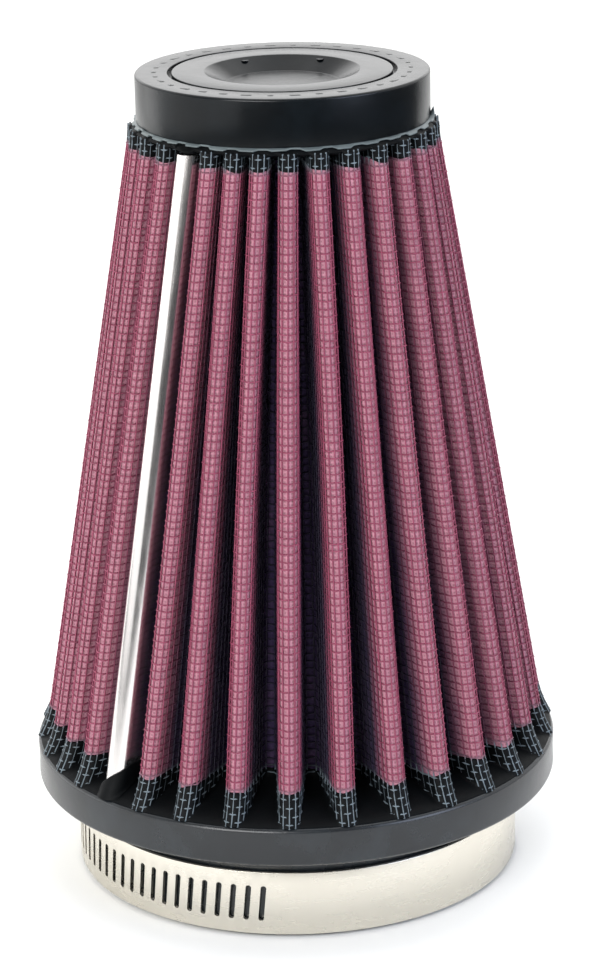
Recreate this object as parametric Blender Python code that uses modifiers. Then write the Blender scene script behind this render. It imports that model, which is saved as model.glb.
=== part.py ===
"""Clamp-on conical air filter: rubber foot and cap, pleated media, worm-drive clamp.

The origin is on the filter's axis, in the plane of the neck's open end, with +Z up
through the cap. The front is -Y and the clamp's screw housing is at the back, +Y.
Lengths are in millimetres until they reach Blender, which works in metres.
"""
import math

import bmesh
import bpy
from mathutils import Matrix, Vector

MM = 0.001
GAP = 0.3                      # clearance between pieces that touch on the real filter

# Rubber foot: a round neck under a wider flange.
NECK_R = 42.5
BORE_R = 38.1
BORE_CHAMFER = 0.8
PIPE_STOP_Z = 18.5             # the pipe's end butts against this step
THROAT_R = 33.6
FLANGE_R = 51.0
FLANGE_Z = (18.2, 25.8)
FLANGE_ROUND = 1.2
TROUGH_R = (35.0, 49.5)        # groove in the flange that the potting fills
TROUGH_DEPTH = 3.6

# Potting shoulders, which show between the rubber mouldings and the pleats.
LOWER_SHOULDER_TOP = 27.4
LOWER_SHOULDER_R = 50.4
LOWER_SHOULDER_CHAMFER = 0.5
UPPER_SHOULDER_Z = (146.6, 147.7)
UPPER_SHOULDER_R = (17.3, 28.4)

# Rubber cap.
CAP_R = 27.5
CAP_Z = (148.0, 157.0)
CAP_ROUND = 0.8
CAP_GROOVE_R = (20.6, 21.4)
CAP_GROOVE_DEPTH = 0.7
CAP_DISH_R = (11.0, 14.4)      # floor and rim of the round dish in the middle
CAP_DISH_DEPTH = 2.4
CAP_TROUGH_R = (17.0, 26.0)
CAP_TROUGH_DEPTH = 3.0

# Pleats, from the foot's end to the cap's end: (foot, cap).
PLEATS = 31
PLEAT_Z = (27.7, 146.3)
CREST_R = (49.4, 29.15)
CREST_HALF_WIDTH = (2.2, 1.95)
VALLEY_R = (36.4, 19.5)
VALLEY_HALF_WIDTH = (1.1, 0.25)
SEAM_HALF_WIDTH = (1.95, 1.75)  # of the pleat whose two raw ends the clip closes
SEAM_INSET = 0.6                # that pleat stands this much lower than the others
# Hand-gathered pleats aren't quite even: mean angle of the seam, then the cosine and
# sine of one, two and three waves round the filter, in degrees. 0 is the front.
GATHER = (
    (-45.1, (-0.15, -1.85), (1.0, -2.3), (-1.9, -1.2)),
    (-43.8, (0.8, 0.6), (1.1, 1.0), (2.3, -2.0)),
)
CREST_SEGMENTS = 3
VALLEY_SEGMENTS = 2

# Layers of the media: a screen, PLIES plies and a screen, each LAYER_GAP from the next.
SCREEN_THICKNESS = 0.25
PLY_THICKNESS = 0.08
LAYER_GAP = 0.08
PLIES = 4

# Clip over the seam, and the sealant between the two raw ends.
CLIP_THICKNESS = 0.35
CLIP_GAP = 0.15
CLIP_LEG = 5.0
SEALANT_GAP = 0.2
SEALANT_DEPTH = 1.2

# Worm-drive clamp: half-inch band.
BAND_R = (42.8, 43.5)
BAND_Z = (0.8, 13.5)
BAND_MIDDLE_Z = sum(BAND_Z) / 2
BAND_THICKNESS = BAND_R[1] - BAND_R[0]
BAND_END_ANGLE = 99.5          # azimuth of the gap between the band's two ends
BAND_END_GAP = 1.5
CUTTER_REACH = 4.0             # size across the band of the blocks that cut it
CUTTER_HEIGHT = 20.0           # height of a block that cuts it right through
SLOT_PITCH = 3.81              # degrees, one turn of the screw
SLOT_FIRST = 260.7             # azimuth of the slot nearest the front
SLOT_COUNT = 42
SLOT_SIZE = (1.1, 7.2)         # width and length
SLOT_LEAN = 5.5                # degrees, the worm's helix angle
TAIL_R = 44.4
TAIL_ANGLES = (45.0, 110.0)
TAIL_RAMP = 6.0                # degrees over which the tail comes down onto the band
TAIL_RAMP_DROP = 0.75
TAIL_SLOT_LAST = 107.0
TAIL_SLOTS = 14
SADDLE_R = (43.75, 44.15)
SADDLE_HALF_ANGLE = 8.3
SCREW_AXIS_R = 48.6
THREAD_R = 3.3
CORE_R = 2.3
THREAD_TURNS = 3.5
THREAD_STEPS = 12              # steps in each turn of the thread
THREAD_HALF_WIDTH = (0.75, 0.3)  # at its foot and at its crest
SCREW_HALF_LENGTH = 6.3
COLLAR_R = 3.9
COLLAR_X = (6.8, 7.8)
HEAD_ACROSS_FLATS = 7.0
HEAD_LENGTH = 4.5
HEAD_OVERLAP = 0.2             # how far the head runs into the collar
DRIVER_SLOT = (1.2, 1.8)       # width and depth
SHAFT_SIDES = 24
HOUSING_SHEET = 0.6
HOUSING_HALF_LENGTH = 6.5
HOUSING_SIDE_GAP = 0.15
HOUSING_SHOULDER_R = 45.4
HOUSING_LEG_R = 43.1

ROUND_STEPS = 60
ARC_STEP = 3.0                 # degrees between the points of the clamp's arcs

FILTER = bpy.data.collections.new("air_filter")
CUTTERS = bpy.data.collections.new("cutters")


def clear_scene():
    """Remove what the scene holds and link this part's two collections."""
    for thing in list(bpy.data.objects):
        bpy.data.objects.remove(thing, do_unlink=True)
    bpy.context.scene.collection.children.link(FILTER)
    bpy.context.scene.collection.children.link(CUTTERS)


def material(name, colour, roughness, metallic=0.0):
    """A Principled material with a plain colour."""
    made = bpy.data.materials.new(name)
    made.use_nodes = True
    shader = made.node_tree.nodes["Principled BSDF"]
    shader.inputs["Base Color"].default_value = (*colour, 1.0)
    shader.inputs["Roughness"].default_value = roughness
    shader.inputs["Metallic"].default_value = metallic
    return made


def place(name, mesh, surface, collection=FILTER, smooth_below=40.0):
    """Put a mesh in the scene as one named piece."""
    piece = bpy.data.objects.new(name, mesh)
    collection.objects.link(piece)
    mesh.materials.clear()
    mesh.materials.append(surface)
    mesh.shade_smooth()
    mesh.set_sharp_from_angle(angle=math.radians(smooth_below))
    return piece


def mesh_from(bm, name):
    """Turn a bmesh into a mesh whose faces point out."""
    bmesh.ops.recalc_face_normals(bm, faces=bm.faces)
    mesh = bpy.data.meshes.new(name)
    bm.to_mesh(mesh)
    bm.free()
    return mesh


def turned(name, outline, surface, closed=True, steps=ROUND_STEPS):
    """A ring or disc from an (r, z) outline that runs down its outer side."""
    mesh = bpy.data.meshes.new(name)
    points = [(r * MM, 0.0, z * MM) for r, z in outline]
    edges = [(i, i + 1) for i in range(len(points) - 1)]
    if closed:
        edges.append((len(points) - 1, 0))
    mesh.from_pydata(points, edges, [])
    piece = bpy.data.objects.new(name, mesh)
    FILTER.objects.link(piece)
    mesh.materials.append(surface)
    spin = piece.modifiers.new("spin", "SCREW")
    spin.steps = steps
    spin.render_steps = steps
    spin.use_merge_vertices = True
    spin.merge_threshold = 0.00001
    spin.use_smooth_shade = True
    return piece


def rounding(centre, radius, start, end, steps=2):
    """Points of an arc in an outline, from one angle to the other in degrees."""
    points = []
    for i in range(steps + 1):
        a = math.radians(start + (end - start) * i / steps)
        points.append((centre[0] + radius * math.cos(a), centre[1] + radius * math.sin(a)))
    return points


def on_circle(radius, azimuth, z=0.0):
    """A point at this radius and azimuth, in degrees from +X towards +Y."""
    a = math.radians(azimuth)
    return Vector((radius * math.cos(a), radius * math.sin(a), z))


# ---------------------------------------------------------------- rubber mouldings

def make_base_flange(surface):
    """Neck and flange in one rubber moulding, with the trough that holds the pleats."""
    low, high = FLANGE_Z
    edge_r = FLANGE_R - FLANGE_ROUND
    outline = [(TROUGH_R[1], high)]
    outline += rounding((edge_r, high - FLANGE_ROUND), FLANGE_ROUND, 90, 0)
    outline += rounding((edge_r, low + FLANGE_ROUND), FLANGE_ROUND, 0, -90)
    outline += [
        (NECK_R, low),
        (NECK_R, 0.0),
        (BORE_R + BORE_CHAMFER, 0.0),
        (BORE_R, BORE_CHAMFER),
        (BORE_R, PIPE_STOP_Z),
        (THROAT_R, PIPE_STOP_Z),
        (THROAT_R, high),
        (TROUGH_R[0], high),
        (TROUGH_R[0], high - TROUGH_DEPTH),
        (TROUGH_R[1], high - TROUGH_DEPTH),
    ]
    return turned("base_flange", outline, surface)


def make_lower_end_seal(surface):
    """Potting poured into the flange's trough, with a shoulder over its rim."""
    rim = FLANGE_Z[1] + GAP
    floor = FLANGE_Z[1] - TROUGH_DEPTH + GAP
    outline = [
        (THROAT_R + GAP, LOWER_SHOULDER_TOP),
        (LOWER_SHOULDER_R - LOWER_SHOULDER_CHAMFER, LOWER_SHOULDER_TOP),
        (LOWER_SHOULDER_R, LOWER_SHOULDER_TOP - LOWER_SHOULDER_CHAMFER),
        (LOWER_SHOULDER_R, rim),
        (TROUGH_R[1] - GAP, rim),
        (TROUGH_R[1] - GAP, floor),
        (TROUGH_R[0] + GAP, floor),
        (TROUGH_R[0] + GAP, rim),
        (THROAT_R + GAP, rim),
    ]
    return turned("lower_end_seal", outline, surface)


def make_upper_end_seal(surface):
    """Potting that joins the pleats to the cap."""
    low, high = UPPER_SHOULDER_Z
    ceiling = CAP_Z[0] + CAP_TROUGH_DEPTH - GAP
    outline = [
        (CAP_TROUGH_R[0] + GAP, ceiling),
        (CAP_TROUGH_R[1] - GAP, ceiling),
        (CAP_TROUGH_R[1] - GAP, high),
        (UPPER_SHOULDER_R[1], high),
        (UPPER_SHOULDER_R[1], low),
        (UPPER_SHOULDER_R[0], low),
    ]
    return turned("upper_end_seal", outline, surface)


def make_top_cap(surface):
    """Rubber cap with a ring groove and a round dish on top."""
    low, high = CAP_Z
    ceiling = low + CAP_TROUGH_DEPTH
    outline = [
        (0.0, high - CAP_DISH_DEPTH),
        (CAP_DISH_R[0], high - CAP_DISH_DEPTH),
        (CAP_DISH_R[1], high),
        (CAP_GROOVE_R[0], high),
        (CAP_GROOVE_R[0], high - CAP_GROOVE_DEPTH),
        (CAP_GROOVE_R[1], high - CAP_GROOVE_DEPTH),
        (CAP_GROOVE_R[1], high),
    ]
    outline += rounding((CAP_R - CAP_ROUND, high - CAP_ROUND), CAP_ROUND, 90, 0)
    outline += [
        (CAP_R, low),
        (CAP_TROUGH_R[1], low),
        (CAP_TROUGH_R[1], ceiling),
        (CAP_TROUGH_R[0], ceiling),
        (CAP_TROUGH_R[0], low),
        (0.0, low),
    ]
    return turned("top_cap", outline, surface, closed=False)


# ---------------------------------------------------------------- pleated media

def crest_angles(end):
    """Azimuth of every pleat's crest at one end, the seam first, in radians."""
    mean, *waves = GATHER[end]
    angles = []
    for k in range(PLEATS):
        turn = math.tau * k / PLEATS
        nudge = mean - 90.0
        for order, (cosine, sine) in enumerate(waves, start=1):
            nudge += cosine * math.cos(order * turn) + sine * math.sin(order * turn)
        angles.append(turn + math.radians(nudge))
    return angles


def wall_normal(crest, crest_r, valley, valley_r, side):
    """Unit normal of the straight wall between a crest arc and a valley arc."""
    across = valley - crest
    heading = math.atan2(across.y, across.x)
    swing = math.acos((crest_r + valley_r) / across.length)
    a = heading - side * swing
    return Vector((math.cos(a), math.sin(a)))


def turn_between(start, end):
    """Signed angle from one direction to another, the short way round."""
    angle = math.atan2(end.y, end.x) - math.atan2(start.y, start.x)
    return (angle + math.pi) % math.tau - math.pi


def arc_points(centre, radius, start, via, end, segments):
    """Points of the arc that leaves in one direction, passes another and ends in a third."""
    first = math.atan2(start.y, start.x)
    sweep = turn_between(start, via) + turn_between(via, end)
    points = []
    for i in range(segments + 1):
        a = first + sweep * i / segments
        points.append(centre + radius * Vector((math.cos(a), math.sin(a))))
    return points


def pleat_frame(end):
    """Crest and valley centres and the wall normals of all pleats at one end."""
    angles = crest_angles(end)
    crests = []
    valleys = []
    for k, a in enumerate(angles):
        half = SEAM_HALF_WIDTH[end] if k == 0 else CREST_HALF_WIDTH[end]
        height = CREST_R[end] - half - (SEAM_INSET if k == 0 else 0.0)
        crests.append((height * Vector((math.cos(a), math.sin(a))), half))
        after = angles[k + 1] if k + 1 < PLEATS else angles[0] + math.tau
        b = (a + after) / 2
        valley_centre = VALLEY_R[end] + VALLEY_HALF_WIDTH[end]
        valleys.append(valley_centre * Vector((math.cos(b), math.sin(b))))
    gap = VALLEY_HALF_WIDTH[end]
    ahead = []
    behind = []
    for k, (crest, half) in enumerate(crests):
        ahead.append(wall_normal(crest, half, valleys[k], gap, 1.0))
        behind.append(wall_normal(crest, half, valleys[k - 1], gap, -1.0))
    return crests, valleys, ahead, behind


def media_outline(end, depth):
    """The folded strip at one end, at this depth below its outer surface.

    It starts and stops at the seam pleat, whose crest is open.
    """
    crests, valleys, ahead, behind = pleat_frame(end)
    points = []
    for k in range(PLEATS):
        crest, half = crests[k]
        if k == 0:
            points.append(crest + (half - depth) * ahead[0])
        else:
            points += arc_points(
                crest, half - depth, behind[k], crest, ahead[k], CREST_SEGMENTS
            )
        after = (k + 1) % PLEATS
        radius = VALLEY_HALF_WIDTH[end] + depth
        points += arc_points(
            valleys[k], radius, -ahead[k], -valleys[k], -behind[after], VALLEY_SEGMENTS
        )
    crest, half = crests[0]
    points.append(crest + (half - depth) * behind[0])
    return points


def lofted_strip(name, outer, inner, levels, surface):
    """A thin solid between two open outlines, ruled from one level to the other.

    outer and inner hold one outline for each level, all with the same number of points.
    """
    bm = bmesh.new()
    rows = []
    for outline in (outer, inner):
        for level, points in zip(levels, outline):
            rows.append([bm.verts.new((p.x * MM, p.y * MM, level * MM)) for p in points])
    outer_low, outer_high, inner_low, inner_high = rows
    for i in range(len(outer_low) - 1):
        j = i + 1
        for a, b, c, d in (
            (outer_low[i], outer_low[j], outer_high[j], outer_high[i]),
            (inner_low[i], inner_low[j], inner_high[j], inner_high[i]),
        ):
            bm.faces.new((a, b, c))
            bm.faces.new((a, c, d))
        bm.faces.new((outer_low[i], inner_low[i], inner_low[j], outer_low[j]))
        bm.faces.new((outer_high[i], outer_high[j], inner_high[j], inner_high[i]))
    for i in (0, -1):
        bm.faces.new((outer_low[i], outer_high[i], inner_high[i], inner_low[i]))
    return place(name, mesh_from(bm, name), surface, smooth_below=60.0)


def make_media(screen, gauze):
    """Wire screens inside and out, with the plies of gauze between them."""
    layers = [("outer_screen", SCREEN_THICKNESS, screen)]
    for ply in range(1, PLIES + 1):
        layers.append((f"gauze_ply_{ply}", PLY_THICKNESS, gauze))
    layers.append(("inner_screen", SCREEN_THICKNESS, screen))
    depth = 0.0
    for name, thickness, surface in layers:
        outer = [media_outline(end, depth) for end in (0, 1)]
        inner = [media_outline(end, depth + thickness) for end in (0, 1)]
        lofted_strip(name, outer, inner, PLEAT_Z, surface)
        depth += thickness + LAYER_GAP
    return depth - LAYER_GAP


def clip_outline(end, offset):
    """U-shaped outline round the seam pleat, this far outside its outer surface."""
    crests, _, ahead, behind = pleat_frame(end)
    crest, half = crests[0]
    radius = half + offset
    points = []
    inward = -crest.normalized()
    for normal in (behind[0], ahead[0]):
        along = Vector((-normal.y, normal.x))
        if along.dot(inward) < 0:
            along = -along
        points.append(crest + radius * normal + CLIP_LEG * along)
    bow = arc_points(crest, radius, behind[0], crest, ahead[0], 2 * CREST_SEGMENTS)
    return [points[0], *bow, points[1]]


def make_seam_clip(surface):
    """Folded metal channel that closes the pleat pack's seam from end to end."""
    outer = [clip_outline(end, CLIP_GAP + CLIP_THICKNESS) for end in (0, 1)]
    inner = [clip_outline(end, CLIP_GAP) for end in (0, 1)]
    return lofted_strip("seam_clip", outer, inner, PLEAT_Z, surface)


def make_seam_sealant(surface, pack_thickness):
    """Bead of sealant between the pleat pack's two raw ends, under the clip."""
    bm = bmesh.new()
    rings = []
    for end, level in enumerate(PLEAT_Z):
        crests, _, ahead, behind = pleat_frame(end)
        crest, half = crests[0]
        reach = half - pack_thickness - SEALANT_GAP
        ring = []
        for normal, flip in ((ahead[0], 1.0), (behind[0], -1.0)):
            along = Vector((-normal.y, normal.x)) * flip
            top = crest + reach * normal
            pair = [top, top + SEALANT_DEPTH * along]
            ring += pair if flip > 0 else pair[::-1]
        rings.append([bm.verts.new((p.x * MM, p.y * MM, level * MM)) for p in ring])
    low, high = rings
    for i in range(4):
        j = (i + 1) % 4
        bm.faces.new((low[i], low[j], high[j], high[i]))
    bm.faces.new(low)
    bm.faces.new(high)
    return place("seam_sealant", mesh_from(bm, "seam_sealant"), surface)


# ---------------------------------------------------------------- clamp

def strip_outline(radius, thickness, azimuths):
    """Outline, seen from above, of a strip that follows the given radius function."""
    outer = [on_circle(radius(a) + thickness, a) for a in azimuths]
    inner = [on_circle(radius(a), a) for a in azimuths]
    return outer + inner[::-1]


def extruded(name, points, half_height, matrix, surface):
    """A flat outline extruded both ways from its plane, as a welded mesh."""
    curve = bpy.data.curves.new(name, "CURVE")
    curve.dimensions = "2D"
    curve.fill_mode = "BOTH"
    curve.extrude = half_height * MM
    spline = curve.splines.new("POLY")
    spline.points.add(len(points) - 1)
    for target, p in zip(spline.points, points):
        target.co = (p.x * MM, p.y * MM, 0.0, 1.0)
    spline.use_cyclic_u = True
    guide = bpy.data.objects.new(name + "_outline", curve)
    CUTTERS.objects.link(guide)
    bpy.context.view_layer.update()
    seen = guide.evaluated_get(bpy.context.evaluated_depsgraph_get())
    mesh = bpy.data.meshes.new_from_object(seen)
    bpy.data.objects.remove(guide, do_unlink=True)
    bm = bmesh.new()
    bm.from_mesh(mesh)
    bmesh.ops.remove_doubles(bm, verts=bm.verts, dist=0.000001)
    bmesh.ops.recalc_face_normals(bm, faces=bm.faces)
    bm.to_mesh(mesh)
    bm.free()
    piece = place(name, mesh, surface)
    piece.matrix_world = matrix
    return piece


def azimuth_range(first, last):
    """Evenly spread azimuths, at most ARC_STEP apart."""
    count = math.ceil(abs(last - first) / ARC_STEP)
    return [first + (last - first) * i / count for i in range(count + 1)]


def slot_cutter(name, radius, azimuths, surface):
    """Leaning blocks that cut the worm's slots, all in one cutter."""
    bm = bmesh.new()
    for azimuth in azimuths:
        spin = Matrix.Rotation(math.radians(azimuth), 4, "Z")
        shift = Matrix.Translation(Vector((radius, 0.0, BAND_MIDDLE_Z)) * MM)
        lean = Matrix.Rotation(math.radians(-SLOT_LEAN), 4, "X")
        size = Matrix.Diagonal((*(Vector((CUTTER_REACH, *SLOT_SIZE)) * MM), 1.0))
        bmesh.ops.create_cube(bm, size=1.0, matrix=spin @ shift @ lean @ size)
    return as_cutter(place(name, mesh_from(bm, name), surface, CUTTERS))


def as_cutter(piece):
    """Hide a piece that only cuts."""
    piece.hide_render = True
    piece.display_type = "WIRE"
    return piece


def combine(piece, other, operation):
    """Add a Boolean modifier."""
    modifier = piece.modifiers.new(other.name, "BOOLEAN")
    modifier.operation = operation
    modifier.object = other
    return modifier


def box_cutter(name, centre, size, azimuth, surface):
    """A block turned about the filter's axis, in millimetres."""
    bm = bmesh.new()
    spin = Matrix.Rotation(math.radians(azimuth), 4, "Z")
    shift = Matrix.Translation(Vector(centre) * MM)
    scale = Matrix.Diagonal((*(Vector(size) * MM), 1.0))
    bmesh.ops.create_cube(bm, size=1.0, matrix=spin @ shift @ scale)
    return as_cutter(place(name, mesh_from(bm, name), surface, CUTTERS))


def make_clamp_band(steel):
    """The band round the neck, slotted on its left half, open under the housing."""
    inner, outer = BAND_R
    low, high = BAND_Z
    outline = [(outer, high), (outer, low), (inner, low), (inner, high)]
    band = turned("clamp_band", outline, steel, steps=round(360.0 / ARC_STEP))
    azimuths = [SLOT_FIRST - SLOT_PITCH * k for k in range(SLOT_COUNT)]
    combine(band, slot_cutter("band_slots", inner, azimuths, steel), "DIFFERENCE")
    centre = ((inner + outer) / 2, 0.0, BAND_MIDDLE_Z)
    size = (CUTTER_REACH, BAND_END_GAP, CUTTER_HEIGHT)
    gap = box_cutter("band_gap", centre, size, BAND_END_ANGLE, steel)
    combine(band, gap, "DIFFERENCE")
    return band


def make_band_tail(steel):
    """The band's free slotted end, which the worm draws through the housing."""
    first, last = TAIL_ANGLES

    def radius(azimuth):
        ramp = max(0.0, azimuth - last) / TAIL_RAMP
        return TAIL_R - TAIL_RAMP_DROP * ramp

    azimuths = azimuth_range(first, last) + azimuth_range(last, last + TAIL_RAMP)[1:]
    points = strip_outline(radius, BAND_THICKNESS, azimuths)
    middle = Matrix.Translation((0.0, 0.0, BAND_MIDDLE_Z * MM))
    half_height = (BAND_Z[1] - BAND_Z[0]) / 2
    tail = extruded("band_tail", points, half_height, middle, steel)
    slots = [TAIL_SLOT_LAST - SLOT_PITCH * k for k in range(TAIL_SLOTS)]
    combine(tail, slot_cutter("tail_slots", TAIL_R, slots, steel), "DIFFERENCE")
    return tail


def make_clamp_saddle(steel):
    """Curved plate between the band's fixed end and the sliding tail."""
    azimuths = azimuth_range(90.0 - SADDLE_HALF_ANGLE, 90.0 + SADDLE_HALF_ANGLE)
    points = strip_outline(lambda azimuth: SADDLE_R[0], SADDLE_R[1] - SADDLE_R[0], azimuths)
    middle = Matrix.Translation((0.0, 0.0, BAND_MIDDLE_Z * MM))
    return extruded("clamp_saddle", points, (BAND_Z[1] - BAND_Z[0]) / 2, middle, steel)


def make_clamp_housing(steel):
    """Bent sheet bridge that holds the worm down on the tail."""
    half_band = (BAND_Z[1] - BAND_Z[0]) / 2 + HOUSING_SIDE_GAP
    bore = THREAD_R + GAP

    def section(offset):
        leg = half_band + offset
        wall = bore + offset
        points = [(leg, HOUSING_LEG_R), (leg, HOUSING_SHOULDER_R + offset)]
        points.append((wall, HOUSING_SHOULDER_R + offset))
        points += rounding((0.0, SCREW_AXIS_R), wall, 0, 180, steps=10)
        points += [(-x, y) for x, y in points[2::-1]]
        return points

    points = [Vector((x, y, 0.0)) for x, y in section(HOUSING_SHEET) + section(0.0)[::-1]]
    # The section's x runs along Z and its y along Y, so the sheet extrudes along X.
    turn = Matrix(((0, 0, -1, 0), (0, 1, 0, 0), (1, 0, 0, BAND_MIDDLE_Z * MM), (0, 0, 0, 1)))
    return extruded("clamp_housing", points, HOUSING_HALF_LENGTH, turn, steel)


def make_thread(surface):
    """The worm's helical rib, swept round the X axis with closed ends."""
    bm = bmesh.new()
    pitch = math.radians(SLOT_PITCH) * (TAIL_R + BAND_THICKNESS / 2)
    foot, top = THREAD_HALF_WIDTH
    sunk_r = CORE_R - GAP
    section = ((sunk_r, -foot), (THREAD_R, -top), (THREAD_R, top), (sunk_r, foot))
    rings = []
    for i in range(round(THREAD_TURNS * THREAD_STEPS) + 1):
        turn = math.tau * i / THREAD_STEPS
        along = pitch * (i / THREAD_STEPS - THREAD_TURNS / 2)
        ring = []
        for radius, offset in section:
            point = (along + offset, radius * math.cos(turn), radius * math.sin(turn))
            ring.append(bm.verts.new(Vector(point) * MM))
        rings.append(ring)
    for before, after in zip(rings, rings[1:]):
        for i in range(4):
            j = (i + 1) % 4
            bm.faces.new((before[i], before[j], after[j]))
            bm.faces.new((before[i], after[j], after[i]))
    bm.faces.new(rings[0])
    bm.faces.new(rings[-1])
    return as_cutter(place("worm_thread", mesh_from(bm, "worm_thread"), surface, CUTTERS))


def cylinder_along_x(bm, radius, first, last, segments):
    """Add a closed cylinder on the X axis between two stations."""
    middle = Matrix.Translation(Vector(((first + last) / 2, 0.0, 0.0)) * MM)
    turn = Matrix.Rotation(math.radians(90.0), 4, "Y")
    bmesh.ops.create_cone(
        bm, cap_ends=True, segments=segments, radius1=radius * MM, radius2=radius * MM,
        depth=(last - first) * MM, matrix=middle @ turn,
    )


def make_clamp_screw(steel):
    """Worm, collar and slotted hexagon head, with the origin on the screw's axis."""
    bm = bmesh.new()
    cylinder_along_x(bm, CORE_R, -SCREW_HALF_LENGTH, COLLAR_X[1], SHAFT_SIDES)
    screw = place("clamp_screw", mesh_from(bm, "clamp_screw"), steel)
    bm = bmesh.new()
    cylinder_along_x(bm, COLLAR_R, *COLLAR_X, SHAFT_SIDES)
    collar = as_cutter(place("screw_collar", mesh_from(bm, "screw_collar"), steel, CUTTERS))
    bm = bmesh.new()
    head_end = COLLAR_X[1] + HEAD_LENGTH
    corner_r = HEAD_ACROSS_FLATS / 2 / math.cos(math.radians(30.0))
    cylinder_along_x(bm, corner_r, COLLAR_X[1] - HEAD_OVERLAP, head_end, 6)
    head = as_cutter(place("screw_head", mesh_from(bm, "screw_head"), steel, CUTTERS))
    width, depth = DRIVER_SLOT
    size = (2 * depth, width, 3 * THREAD_R)
    groove = box_cutter("driver_slot", (head_end, 0.0, 0.0), size, 0.0, steel)
    helpers = (make_thread(steel), collar, head, groove)
    for helper, operation in zip(helpers, ("UNION", "UNION", "UNION", "DIFFERENCE")):
        combine(screw, helper, operation)
    for piece in (screw, *helpers):
        piece.location = Vector((0.0, SCREW_AXIS_R, BAND_MIDDLE_Z)) * MM
    return screw


def hang_on_axis(name, location, pieces):
    """Parent the pieces to an empty on their joint's axis."""
    axis = bpy.data.objects.new(name, None)
    axis.location = Vector(location) * MM
    axis.empty_display_size = 0.01
    FILTER.objects.link(axis)
    bpy.context.view_layer.update()
    for piece in pieces:
        piece.parent = axis
        piece.matrix_parent_inverse = axis.matrix_world.inverted()


def main():
    clear_scene()
    foot_rubber = material("foot_rubber", (0.075, 0.082, 0.095), 0.45)
    cap_rubber = material("cap_rubber", (0.035, 0.04, 0.045), 0.42)
    potting = material("potting", (0.012, 0.016, 0.018), 0.5)
    screen = material("coated_wire_screen", (0.16, 0.05, 0.06), 0.6, 0.3)
    gauze = material("oiled_gauze", (0.45, 0.08, 0.12), 0.8)
    clip_steel = material("clip_steel", (0.8, 0.79, 0.76), 0.2, 1.0)
    sealant = material("sealant", (0.6, 0.5, 0.35), 0.5)
    band_steel = material("band_steel", (0.78, 0.77, 0.72), 0.3, 1.0)
    screw_steel = material("screw_steel", (0.6, 0.6, 0.6), 0.35, 1.0)

    make_base_flange(foot_rubber)
    make_lower_end_seal(potting)
    pack_thickness = make_media(screen, gauze)
    make_seam_clip(clip_steel)
    make_seam_sealant(sealant, pack_thickness)
    make_upper_end_seal(potting)
    make_top_cap(cap_rubber)

    band = make_clamp_band(band_steel)
    housing = make_clamp_housing(band_steel)
    saddle = make_clamp_saddle(band_steel)
    hang_on_axis("clamp_axis", (0.0, 0.0, BAND_MIDDLE_Z), (band, housing, saddle))
    hang_on_axis("tail_axis", (0.0, 0.0, BAND_MIDDLE_Z), (make_band_tail(band_steel),))
    make_clamp_screw(screw_steel)


main()
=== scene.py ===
"""Builds the finished surface of a clamp-on conical air filter, piece by piece.

The pieces are the rubber foot and cap, four plies of oiled gauze pleated between two wire
meshes, the potting that seals both ends, the seam clip and the worm-drive clamp. The
origin is on the filter's axis in the plane of the neck's open end, with +Z up and the
front at -Y. Lengths in constants and outlines are in millimetres.
"""

import math

import bpy
import numpy as np
from bpy.props import FloatProperty, FloatVectorProperty, IntProperty, PointerProperty
from bpy.types import Operator, Panel, PropertyGroup
from mathutils import Euler, Matrix, Vector


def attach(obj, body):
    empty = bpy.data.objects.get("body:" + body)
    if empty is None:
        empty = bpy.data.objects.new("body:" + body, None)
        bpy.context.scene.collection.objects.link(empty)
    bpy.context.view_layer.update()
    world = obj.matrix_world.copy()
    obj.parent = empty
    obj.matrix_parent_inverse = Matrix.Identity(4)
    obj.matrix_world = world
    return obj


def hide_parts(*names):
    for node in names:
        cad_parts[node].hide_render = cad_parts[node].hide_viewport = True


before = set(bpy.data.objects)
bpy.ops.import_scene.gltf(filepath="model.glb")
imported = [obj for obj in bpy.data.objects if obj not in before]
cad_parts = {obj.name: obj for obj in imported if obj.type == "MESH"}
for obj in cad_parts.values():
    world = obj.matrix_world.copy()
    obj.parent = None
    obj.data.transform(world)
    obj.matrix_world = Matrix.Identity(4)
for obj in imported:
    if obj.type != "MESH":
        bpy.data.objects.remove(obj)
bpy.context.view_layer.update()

bl_info = {
    "name": "Conical Air Filter",
    "version": (1, 0, 0),
    "blender": (4, 5, 0),
    "location": "View3D > Sidebar > Air Filter",
    "description": "Models a clamp-on conical air filter, its finishes and a studio",
    "category": "Add Mesh",
}

MM = 0.001
TURN = math.tau

# Rubber foot.
NECK_R = 42.5
BORE_R = 38.1
PIPE_STOP_Z = 18.5
THROAT_R = 33.6
FLANGE_R = 51.0
FLANGE_Z = (18.2, 25.8)
TROUGH_R = (35.0, 49.5)
TROUGH_DEPTH = 3.6

# Rubber cap.
CAP_R = 27.5
CAP_Z = (148.0, 157.0)
CAP_GROOVE_R = (20.6, 21.4)
CAP_GROOVE_DEPTH = 1.1
DISH_R = (11.0, 14.4)
DISH_DEPTH = 2.4
CAP_TROUGH_R = (17.0, 26.0)
CAP_TROUGH_DEPTH = 3.0
CAP_MARKS = 34            # short raised dashes, in place of the moulded lettering
MARK_R = 23.9
MARK_WIDTH = 0.8
MARK_HEIGHT = 0.1
NUB_AZIMUTHS = (58.0, 121.0)
NUB_R = 0.7
NUB_PLACE_R = 13.6
FLASH_SAG = ((0.25, 9, 0.0), (0.2, 23, 1.0))
FLASH_SECTION = (         # radius and height
    (27.2, 148.2), (27.65, 148.15), (27.85, 148.02), (27.85, 147.9), (27.7, 147.8),
    (27.2, 147.8),
)

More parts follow.
